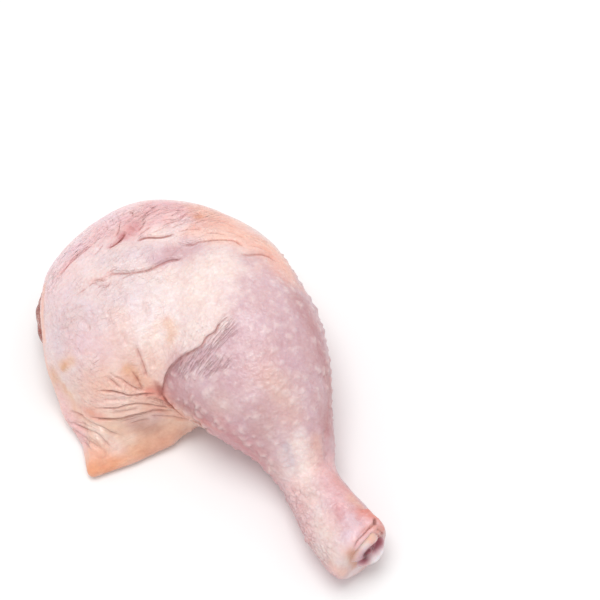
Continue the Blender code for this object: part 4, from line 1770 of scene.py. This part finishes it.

# The colour of the painted shade in the hollows of the silky band's wrinkles
SILK_SHADE_TINT = (0.86, 0.60, 0.62)
SKIN_FINISH = MoistFinish(
    "moist_skin",
    roughness=0.48,
    film=0.3,
    film_roughness=0.14,
    scatter=0.12,
    scatter_reach=1.0,
    mottles=(
        Mottle(13.0, (0.95, 0.93, 0.98), 0.8),
        Mottle(7.0, (1.0, 0.95, 0.88), 0.7),
        Mottle(4.5, (0.95, 0.89, 0.90), 0.8),
        Mottle(2.2, (0.95, 0.90, 0.90), 0.8),
        Mottle(1.1, (0.95, 0.92, 0.92), 0.6),
    ),
    grains=(
        Grain(Pattern.DOMES, 1.3, 0.30, where="pebble", shade=0.42),
        Grain(Pattern.NET, 2.3, 0.09, (0.6, 1.0, 1.0), -38.0, "criss", 0.06),
        Grain(Pattern.CREASES, 3.4, 0.14, (0.36, 1.0, 1.0), -40.0, "criss", 0.11),
        Grain(Pattern.CREASES, 4.0, 0.11, (0.36, 1.0, 1.0), 58.0, "criss", 0.07),
        Grain(Pattern.CREASES, 1.0, 0.28, (0.1, 1.0, 0.1), -45.0, "stretch", 0.54, 0.2, crisp=0.05),
        Grain(Pattern.CREASES, 1.7, 0.20, (0.16, 1.0, 0.25), -40.0, "silk", 0.22, 0.5, SILK_SHADE_TINT, 0.06),
        Grain(Pattern.CREASES, 3.0, 0.14, (0.16, 1.0, 0.6), -30.0, "silk", 0.10, 0.8, SILK_SHADE_TINT),
        Grain(Pattern.CREASES, 1.8, 0.45, (0.12, 1.0, 1.0), 20.0, "cut", 0.5),
        Grain(Pattern.NET, 2.3, 0.24, (1.0, 0.6, 1.0), -50.0, "scales", 0.3),
        Grain(Pattern.NOISE, 0.8, 0.16),
    ),
    # The hollow, crease and pit marks are painted shade; the follicles and the cut are colours of the flesh
    marks=(
        Mark("follicle", Tone.CREAM, 0.52),
        Mark("cut", Tone.FLESH, 0.85),
        Mark("hollow_shade", Tone.CORAL, 0.16),
        Mark("crease", Tone.CREASE_SHADE, 0.38),
        Mark("pit_shade", Tone.EMBER, 0.7),
    ),
    furrows=(Furrow("furrow", "inked", 0.34, 0.3, Tone.CREASE_SHADE, 0.6),),
    wet="wet",
    wet_film=0.9,
)


class Relief:
    """What the wrinkles, the folds and the lap do to the skin. Lengths are in millimetres.

    Lift is how far each point is raised, and crease how strongly painted shade darkens it where it is
    creased. Furrow is how far it is from the nearest fold, and the painted shade of that fold's furrow is
    kept beside it. Slide is how far it is moved against slide_way.
    """

    FAR = 9.0
    PATCH_SEARCH = 1.8
    FOLD_SEARCH = 6.0
    LEAST_SEARCH = 3.0
    LAP_SEARCH = 3.0
    CREASE_SHARPNESS = 1.5
    INK_SPAN = (1.1, 0.65)
    FLAT_SPAN = (0.3, 3.0)
    HOLLOW_SPAN = (0.05, 0.4)
    HOLLOW_ROUNDS = 8

    def __init__(self, surface: Surface, chart: Chart, lumps: tuple[Lumps, ...]) -> None:
        """Starts from skin that is only lumpy.

        Args:
            surface: the skin.
            chart: lays the lines.
            lumps: the skin's own lumps.
        """
        points = surface.points
        self.points = points
        self.outward = surface.outward()
        self.chart = chart
        self.lift = lumpy(points, lumps)
        self.crease = np.zeros(len(points))
        self.furrow = np.full(len(points), self.FAR)
        self.inked = np.zeros(len(points))
        self.slide = np.zeros(len(points))
        self.slide_way = np.zeros_like(points)

    def darken(self, chosen: Array, crease: Array) -> None:
        """Makes the painted shade of the crease at the chosen points at least this strong."""
        self.crease[chosen] = np.maximum(self.crease[chosen], crease)

    def wrinkle(self, patch: Wrinkles) -> None:
        """Presses in a patch of wrinkles, and paints shade in their grooves."""
        reach = self.chart.reach(self.points, patch.line, patch.reach * self.PATCH_SEARCH)
        share = np.exp(-(reach.away() / patch.reach) ** 4)
        heading = self.chart.toward(patch.line[len(patch.line) // 2], patch.toward)
        groove = share * patch.grooves(self.points[reach.chosen], heading)
        self.lift[reach.chosen] += patch.depth * (0.5 * share - groove)
        self.darken(reach.chosen, patch.flush * groove)

    def press(self, fold: Fold) -> None:
        """Presses in a fold, and paints shade in its crease. Where it is the nearest one, its furrow is the
        one that gets painted shade.
        """
        search = max(fold.width * self.FOLD_SEARCH, self.LEAST_SEARCH)
        reach = self.chart.reach(self.points, fold.line, search)
        side = (reach.offset * np.cross(self.outward[reach.chosen], reach.heading)).sum(axis=1)
        side = np.where(side < 0.0, -1.0, 1.0) * reach.away()
        fade = reach.end_fade()
        nearest = np.abs(side) < np.abs(self.furrow[reach.chosen])
        self.furrow[reach.chosen[nearest]] = side[nearest]
        inked = fold.flush * fade * smooth_step(np.abs(side), *self.INK_SPAN)
        self.inked[reach.chosen[nearest]] = inked[nearest]
        self.lift[reach.chosen] += fold.lift(side) * fade
        near = np.exp(-((self.CREASE_SHARPNESS * side / fold.width) ** 2))
        self.darken(reach.chosen, fold.flush * near * fade)

    def lap_over(self, lap: Lap) -> None:
        """Laps one skin over the other, and paints shade along the edge's crease."""
        reach = self.chart.reach(self.points, lap.line, lap.width * self.LAP_SEARCH)
        sideways = np.cross(self.outward[reach.chosen], reach.heading)
        side = (reach.offset * sideways).sum(axis=1)
        fade = lap.strength(reach.share) * np.exp(-((reach.away() / lap.width) ** 2))
        step = np.tanh(side / lap.edge) * np.where(side > 0, lap.rise, lap.sink)
        self.lift[reach.chosen] += step * fade
        self.slide[reach.chosen] = lap.lip(side, fade)
        self.slide_way[reach.chosen] = sideways
        self.darken(reach.chosen, lap.crease(side, fade))

    def apply(self, surface: Surface) -> None:
        """Moves the skin's points, less by the base, and marks its hollows and creases for the finish's
        painted shade.
        """
        flat = smooth_step(self.points[:, 2], *self.FLAT_SPAN)
        around = self.lift[:, None]
        for _ in range(self.HOLLOW_ROUNDS):
            around = surface.evened(around)
        # Painted shade where the skin lies lower than the skin round it
        surface.attribute("hollow_shade", smooth_step(around[:, 0] - self.lift, *self.HOLLOW_SPAN) * flat)
        surface.attribute("crease", self.crease * flat)
        surface.attribute("furrow", self.furrow)
        surface.attribute("inked", np.clip(self.inked * flat, 0.0, 1.0))
        raised = self.points + self.outward * (self.lift * flat)[:, None]
        surface.points = raised - self.slide_way * (self.slide * flat)[:, None]


@dataclass
class SkinOnLeg:
    """The skin over the thigh and the drumstick.

    The mesh is fine above the height fine_above, finer where the skin faces the camera by more than
    fine_facing, and finest by the lap and by folds at least creased_depth deep. A span says where one thing
    turns into another: the distance, the height or the slope where that starts and where it ends.
    """

    form: LegForm
    camera: PhotoCamera
    grain: float = 2.42
    fine_above: float = 0.6
    fine_facing: float = 0.2
    creased_facing: float = 0.1
    creased_depth: float = 0.55
    creased_widths: float = 1.5
    lap_margin: float = 2.2
    lumps: tuple[Lumps, ...] = (Lumps(0.35, 13.0, 51), Lumps(0.14, 5.0, 52))
    patchiness: Lumps = Lumps(1.0, 9.0, 21)
    lap: Lap = LAP
    folds: tuple[Fold, ...] = FOLDS
    wrinkles: tuple[Wrinkles, ...] = WRINKLES
    sprays: tuple[Spray, ...] = SKIN_SPRAYS
    finish: MoistFinish = SKIN_FINISH
    seam: Span = (-4.0, 5.0)
    low_rose: Span = (16.0, 2.0)
    under_wine: Span = (0.35, -0.35)
    hip_rim: Span = (4.0, 1.6)
    hock_rim: Span = (1.6, 0.4)
    off_base: Span = (1.0, 5.0)
    off_cuts: Span = (1.0, 6.0)
    shank_way: Point = (0.7, -0.7, 0.0)
    shank_span: Span = (44.0, 62.0)
    underside: Span = (-0.75, -0.2)
    patchy: Span = (-0.6, 0.5)
    cut_inside: Span = (0.9, 2.0)
    cut_edge: Span = (-1.2, -0.4)
    shank_criss: float = 0.6
    patchy_share: float = 0.6
    calm_web: float = 0.75
    bare_shank: float = 0.85
    goose_top: float = 0.5
    goose_under: float = 0.9
    thigh_pebble: float = 0.25
    low_rose_share: float = 0.5
    under_wine_share: float = 0.6
    web: Patch = Patch(12.0, ((85, 450), (120, 430), (175, 420)))
    stretched: tuple[Patch, ...] = (
        Patch(6.5, ((184, 366), (197, 355), (209, 342), (222, 330))),
        Patch(3.2, ((206, 372), (216, 368), (226, 362)), 0.8),
    )
    silky: tuple[Patch, ...] = (
        Patch(9.0, ((50, 280), (75, 248), (111, 222), (150, 212), (208, 216))),
        Patch(14.0, ((-56.0, 52.0, 14.0), (-30.0, 70.0, 16.0), (0.0, 74.0, 16.0), (26.0, 58.0, 16.0)), 0.7),
    )
    scaly: Patch = Patch(9.0, ((292, 505), (303, 530), (314, 550), (330, 566)))
    # The small pit by the hock, where painted shade darkens the skin
    pit_shade: Patch = Patch(0.55, ((373, 522.4), (373.9, 524.2)))
    wet: Patch = Patch(11.0, ((110, 428), (150, 425), (185, 418)))
    goosebumps: Goosebumps = Goosebumps()

    def on_drumstick(self, surface: Surface, chart: Chart) -> Array:
        """How much each point of the skin belongs to the drumstick.

        Args:
            surface: the skin.
            chart: lays the lap's line.

        Returns:
            One share for each point, which ends sharply at the lap.
        """
        points = surface.points
        thigh = np.min([mass.distance(points) for mass in self.form.thigh], axis=0)
        drumstick = np.minimum(self.form.calf.distance(points), self.form.shank.distance(points))
        share = smooth_step(thigh - drumstick, *self.seam)
        reach = chart.reach(points, self.lap.line, self.lap.tone_search)
        normal = surface.outward()[reach.chosen]
        side = (reach.offset * np.cross(normal, reach.heading)).sum(axis=1)
        near = np.exp(-((reach.away() / self.lap.tone_reach) ** 4)) * reach.end_fade(self.lap.tone_fade)
        sharp = smooth_step(-side / self.lap.blur(reach.share), -1.0, 1.0)
        share[reach.chosen] += near * (sharp - share[reach.chosen])
        return share

    def shape(self) -> tuple[Surface, Chart]:
        """Settles the skin on its form, with small faces where it shows most.

        Returns:
            The surface, and the chart of it.
        """
        surface = Surface(self.form, self.grain)
        surface.settle()
        chart = Chart(surface, self.camera)
        surface.refine(surface.points[:, 2] > self.fine_above)
        surface.settle(3, 1)
        surface.refine(surface.outward() @ self.camera.back() > self.fine_facing)
        surface.settle(2, 1)
        surface.refine(self.creased(surface, chart))
        surface.settle(2, 1)
        return surface, chart

    def creased(self, surface: Surface, chart: Chart) -> Array:
        """Which points lie by the lap or by a deep fold, and show in the photograph.

        Args:
            surface: the skin.
            chart: lays the lines.

        Returns:
            One truth value for each point.
        """
        wanted = np.zeros(len(surface.points), dtype=bool)
        deep = [fold for fold in self.folds if abs(fold.depth) >= self.creased_depth]
        lines = [(fold.line, self.creased_widths * fold.width) for fold in deep]
        for line, margin in ((self.lap.line, self.lap_margin), *lines):
            reach = chart.reach(surface.points, line, margin)
            wanted[reach.chosen[reach.away() < margin]] = True
        return wanted & (surface.outward() @ self.camera.back() > self.creased_facing)

    def colour(self, surface: Surface, chart: Chart, drumstick: Array) -> Array:
        """The colour of each point of the skin before it is folded.

        Args:
            surface: the skin.
            chart: lays the patches' lines.
            drumstick: how much each point belongs to the drumstick.

        Returns:
            Rows of red, green and blue.
        """
        points = surface.points
        rose = smooth_step(points[:, 2], *self.low_rose) * self.low_rose_share
        # Wine where the drumstick's skin faces down: partly its redder underside, partly painted shade
        wine = smooth_step(surface.outward()[:, 2], *self.under_wine) * self.under_wine_share
        base = Tone.CREAM.light() + drumstick[:, None] * (Tone.MAUVE.light() - Tone.CREAM.light())
        for share, tone in (
            (rose * (1.0 - drumstick), Tone.ROSE),
            (wine * drumstick, Tone.WINE),
            (smooth_step(-self.form.hip.beyond(points), *self.hip_rim), Tone.SALMON),
            (smooth_step(-self.form.hock.beyond(points), *self.hock_rim), Tone.ASH),
        ):
            base += share[:, None] * (tone.light() - base)
        return painted(surface, chart, base, self.sprays)

    def patch(self, surface: Surface, chart: Chart, area: Patch) -> Array:
        """How much each point lies in a patch.

        Args:
            surface: the skin.
            chart: lays the patch's line.
            area: the patch.

        Returns:
            One value for each point, from 0 to the patch's strength.
        """
        reach = chart.reach(surface.points, area.line, area.reach * area.SEARCHED)
        share = np.zeros(len(surface.points))
        share[reach.chosen] = area.strength * np.exp(-(reach.away() / area.reach) ** 4)
        return share

    def mark(self, surface: Surface, chart: Chart, drumstick: Array) -> None:
        """Marks where each part of the finish lies.

        Args:
            surface: the skin, before it is folded.
            chart: lays the patches' lines.
            drumstick: how much each point belongs to the drumstick.
        """
        points = surface.points
        hip = self.form.hip.beyond(points)
        cuts = np.maximum(hip, self.form.hock.beyond(points))
        skin = smooth_step(points[:, 2], *self.off_base) * smooth_step(-cuts, *self.off_cuts)
        shank = smooth_step(points @ np.array(self.shank_way), *self.shank_span)
        patchy = smooth_step(lumpy(points, (self.patchiness,)), *self.patchy)
        underside = smooth_step(-surface.outward()[:, 2], *self.underside)
        web = self.patch(surface, chart, self.web)
        criss = 1.0 - drumstick + self.shank_criss * drumstick * shank
        criss *= (1.0 - self.patchy_share) + self.patchy_share * patchy
        criss *= 1.0 - self.calm_web * web
        stretched = sum(self.patch(surface, chart, area) for area in self.stretched)
        inside = smooth_step(-self.form.uncut(points), *self.cut_inside)
        marks = {
            "cover": drumstick * skin * (1.0 - self.bare_shank * shank),
            "goose": (self.goose_top + self.goose_under * underside) * skin,
            "criss": criss * skin,
            "stretch": np.clip(stretched, 0.0, 1.0) * drumstick,
            "silk": np.max([self.patch(surface, chart, area) for area in self.silky], axis=0),
            "scales": self.patch(surface, chart, self.scaly) * skin,
            "pebble": (self.thigh_pebble + (1.0 - self.thigh_pebble) * drumstick) * skin,
            "cut": inside * smooth_step(hip, *self.cut_edge),
            "pit_shade": self.patch(surface, chart, self.pit_shade),
            "wet": self.patch(surface, chart, self.wet),
        }
        for name, values in marks.items():
            surface.attribute(name, values)

    def build(self) -> bpy.types.Object:
        """Builds the finished skin."""
        surface, chart = self.shape()
        drumstick = self.on_drumstick(surface, chart)
        surface.attribute("tone", self.colour(surface, chart, drumstick))
        self.mark(surface, chart, drumstick)
        relief = Relief(surface, chart, self.lumps)
        for patch in self.wrinkles:
            relief.wrinkle(patch)
        for fold in self.folds:
            relief.press(fold)
        relief.lap_over(self.lap)
        relief.apply(surface)
        item = surface.piece("chicken_skin")
        self.goosebumps.raise_on(item, self.finish.material())
        return item


@dataclass
class HockBone:
    """The shank bone, whose cartilage end shows at the leg's hock cut, round a dark slot."""

    form: BoneForm
    camera: PhotoCamera
    hock: Cut
    grain: float = 1.5
    fine_from: float = -9.0
    lumps: tuple[Lumps, ...] = (Lumps(0.25, 4.0, 61), Lumps(0.1, 1.6, 62))
    slot_ridges: Point = (0.25, 1.8, 0.6)
    slot_fade: float = 0.25
    slot: Fold = Fold(1.1, 1.6, ((362.5, 559), (367.5, 554), (372.5, 549), (378.5, 543)))
    sprays: tuple[Spray, ...] = (
        Spray(Tone.LIP, 3.4, 0.9, ((354, 551), (358, 545), (364, 540), (369, 538))),
        Spray(Tone.LIP, 2.2, 0.8, ((357, 541), (362, 536), (367, 533))),
        Spray(Tone.PEARL, 2.4, 0.7, ((356, 562), (360, 554), (366, 548))),
        Spray(Tone.TAN, 1.4, 0.75, ((352, 560), (352.5, 555), (355, 549))),
        Spray(Tone.ORCHID, 3.0, 0.85, ((362, 560.5), (367, 555), (373, 549.5), (380, 543))),
        Spray(Tone.CRIMSON, 2.2, 0.95, ((364, 558.5), (368, 554), (373, 549), (379, 543))),
        Spray(Tone.BURGUNDY, 1.0, 0.6, ((364.5, 558), (369, 553), (374, 548.5))),
        Spray(Tone.BURGUNDY, 0.7, 0.9, ((364.6, 558), (366, 556.4))),
        Spray(Tone.PEARL, 2.2, 1.0, ((388, 540), (386, 546), (382, 553), (376, 560), (368, 566))),
    )
    finish: MoistFinish = MoistFinish(
        "wet_cartilage",
        roughness=0.34,
        film=0.6,
        film_roughness=0.1,
        scatter=0.35,
        scatter_reach=1.6,
        mottles=(Mottle(5.0, (0.97, 0.93, 0.95), 0.6), Mottle(1.2, (0.95, 0.92, 0.93), 0.6)),
        grains=(Grain(Pattern.NOISE, 1.6, 0.2), Grain(Pattern.NOISE, 0.5, 0.08)),
    )

    def build(self) -> bpy.types.Object:
        """Builds the finished bone."""
        surface = Surface(self.form, self.grain)
        surface.settle()
        chart = Chart(surface, self.camera)
        for _ in range(2):
            surface.refine(self.hock.beyond(surface.points) > self.fine_from)
            surface.settle(3, 1)
        points = surface.points
        outward = surface.outward()
        reach = chart.reach(points, self.slot.line, self.slot.width * 4.0)
        groove = self.slot.groove(reach.away() / self.slot.width, *self.slot_ridges)
        lift = lumpy(points, self.lumps)
        lift[reach.chosen] -= self.slot.depth * groove * reach.end_fade(self.slot_fade)
        base = np.tile(Tone.ASH.light(), (len(points), 1))
        surface.attribute("tone", painted(surface, chart, base, self.sprays))
        surface.points = points + outward * lift[:, None]
        item = surface.piece("hock_cartilage")
        item.data.materials.append(self.finish.material())
        return item


@dataclass
class HipMeat:
    """The raw meat at the hip cut."""

    form: MeatForm
    grain: float = 1.7
    fine_before: float = -50.0
    fibre_stretch: Point = (0.25, 1.0, 0.4)
    fibres: Lumps = Lumps(0.2, 1.6, 71)
    bundle_stretch: Point = (0.3, 1.0, 0.6)
    bundles: Lumps = Lumps(0.25, 4.5, 72)
    fascia_span: Span = (0.12, 0.02)
    fascia_depth: float = 0.2
    fascia_tint: float = 0.6
    dark_span: Span = (-0.5, 0.6)
    finish: MoistFinish = MoistFinish(
        "raw_meat",
        roughness=0.4,
        film=0.5,
        film_roughness=0.12,
        scatter=0.25,
        scatter_reach=1.5,
        mottles=(Mottle(6.0, (0.90, 0.72, 0.72), 0.8), Mottle(1.4, (0.90, 0.80, 0.78), 0.8)),
        grains=(
            Grain(Pattern.CREASES, 2.0, 0.35, (0.25, 1.0, 0.35), 12.0, shade=0.5),
            Grain(Pattern.NOISE, 0.4, 0.06),
        ),
    )

    def build(self) -> bpy.types.Object:
        """Builds the finished meat."""
        surface = Surface(self.form, self.grain)
        surface.settle()
        surface.refine(surface.points[:, 0] < self.fine_before)
        surface.settle(3, 1)
        points = surface.points
        bundles = lattice_noise(points * self.bundle_stretch, self.bundles.size, self.bundles.seed)
        fascia = smooth_step(np.abs(bundles), *self.fascia_span)
        flesh = Tone.FLESH.light()
        tone = flesh + smooth_step(bundles, *self.dark_span)[:, None] * (Tone.DEEP_FLESH.light() - flesh)
        tone += self.fascia_tint * fascia[:, None] * (Tone.FASCIA.light() - tone)
        surface.attribute("tone", tone)
        lift = lumpy(points * self.fibre_stretch, (self.fibres,)) + self.bundles.height * bundles
        lift -= self.fascia_depth * fascia
        surface.points = points + surface.outward() * lift[:, None]
        item = surface.piece("hip_meat")
        item.data.materials.append(self.finish.material())
        return item


@dataclass(frozen=True)
class Studio:
    """A plain pale floor, and soft light from all round with a little more from above."""

    floor_size: float = 6.0
    floor_drop: float = 0.0004
    floor_greys: Span = (0.93, 0.95)
    floor_patches: float = 3.0
    floor_roughness: float = 0.8
    world_light: float = 0.72
    key_power: float = 5.6
    key_size: float = 0.7
    key_place: Point = (-0.08, 0.06, 1.08)

    def floor(self) -> None:
        """Lays the floor."""
        half = self.floor_size / 2
        corners = [(-half, -half), (half, -half), (half, half), (-half, half)]
        mesh = bpy.data.meshes.new("floor")
        mesh.from_pydata([(x, y, -self.floor_drop) for x, y in corners], [], [(0, 1, 2, 3)])
        item = bpy.data.objects.new("floor", mesh)
        bpy.context.collection.objects.link(item)
        made = bpy.data.materials.new("pale_floor")
        made.use_nodes = True
        graph = Graph(made.node_tree)
        place = graph.add("ShaderNodeTexCoord").outputs["Object"]
        noise = graph.add("ShaderNodeTexNoise", {"Vector": place, "Scale": self.floor_patches}).outputs[0]
        dark, pale = ((grey, grey, grey, 1.0) for grey in self.floor_greys)
        inputs = {"Base Color": graph.mix(noise, dark, pale), "Roughness": self.floor_roughness}
        shader = graph.add("ShaderNodeBsdfPrincipled", inputs)
        graph.add("ShaderNodeOutputMaterial", {"Surface": shader.outputs[0]})
        mesh.materials.append(made)

    def light(self) -> None:
        """Sets the light of the room and the large soft lamp."""
        world = bpy.data.worlds.new("studio")
        bpy.context.scene.world = world
        world.use_nodes = True
        graph = Graph(world.node_tree)
        white = {"Color": (1.0, 1.0, 1.0, 1.0), "Strength": self.world_light}
        glow = graph.add("ShaderNodeBackground", white)
        graph.add("ShaderNodeOutputWorld", {"Surface": glow.outputs[0]})
        lamp = bpy.data.lights.new("soft_key", "AREA")
        lamp.shape = "DISK"
        lamp.size = self.key_size
        lamp.energy = self.key_power
        item = bpy.data.objects.new("soft_key", lamp)
        item.location = self.key_place
        item.rotation_mode = "QUATERNION"
        item.rotation_quaternion = (-Vector(self.key_place)).to_track_quat("-Z", "Y")
        bpy.context.collection.objects.link(item)

    def build(self) -> None:
        """Sets up the floor, the light and how the light is shown."""
        self.floor()
        self.light()
        bpy.context.scene.view_settings.view_transform = "Standard"


def stand_for(item: bpy.types.Object, node: str) -> None:
    """Puts a finished piece in a solid's place.

    Args:
        item: the piece.
        node: the solid that it stands for.
    """
    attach(item, BODY)
    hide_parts(node)
    LOG.info("%s stands for %s, with %d faces", item.name, node, len(item.data.polygons))


def main() -> None:
    """Builds the camera, the studio and the three pieces."""
    logging.basicConfig(level=logging.INFO, format="%(name)s: %(message)s")
    camera = PhotoCamera()
    camera.place()
    Studio().build()
    leg = LegForm()
    stand_for(SkinOnLeg(leg, camera).build(), "leg_quarter")
    stand_for(HockBone(BoneForm(), camera, leg.hock).build(), "shank_bone")
    stand_for(HipMeat(MeatForm()).build(), "thigh_meat")


if __name__ == "__main__":
    main()
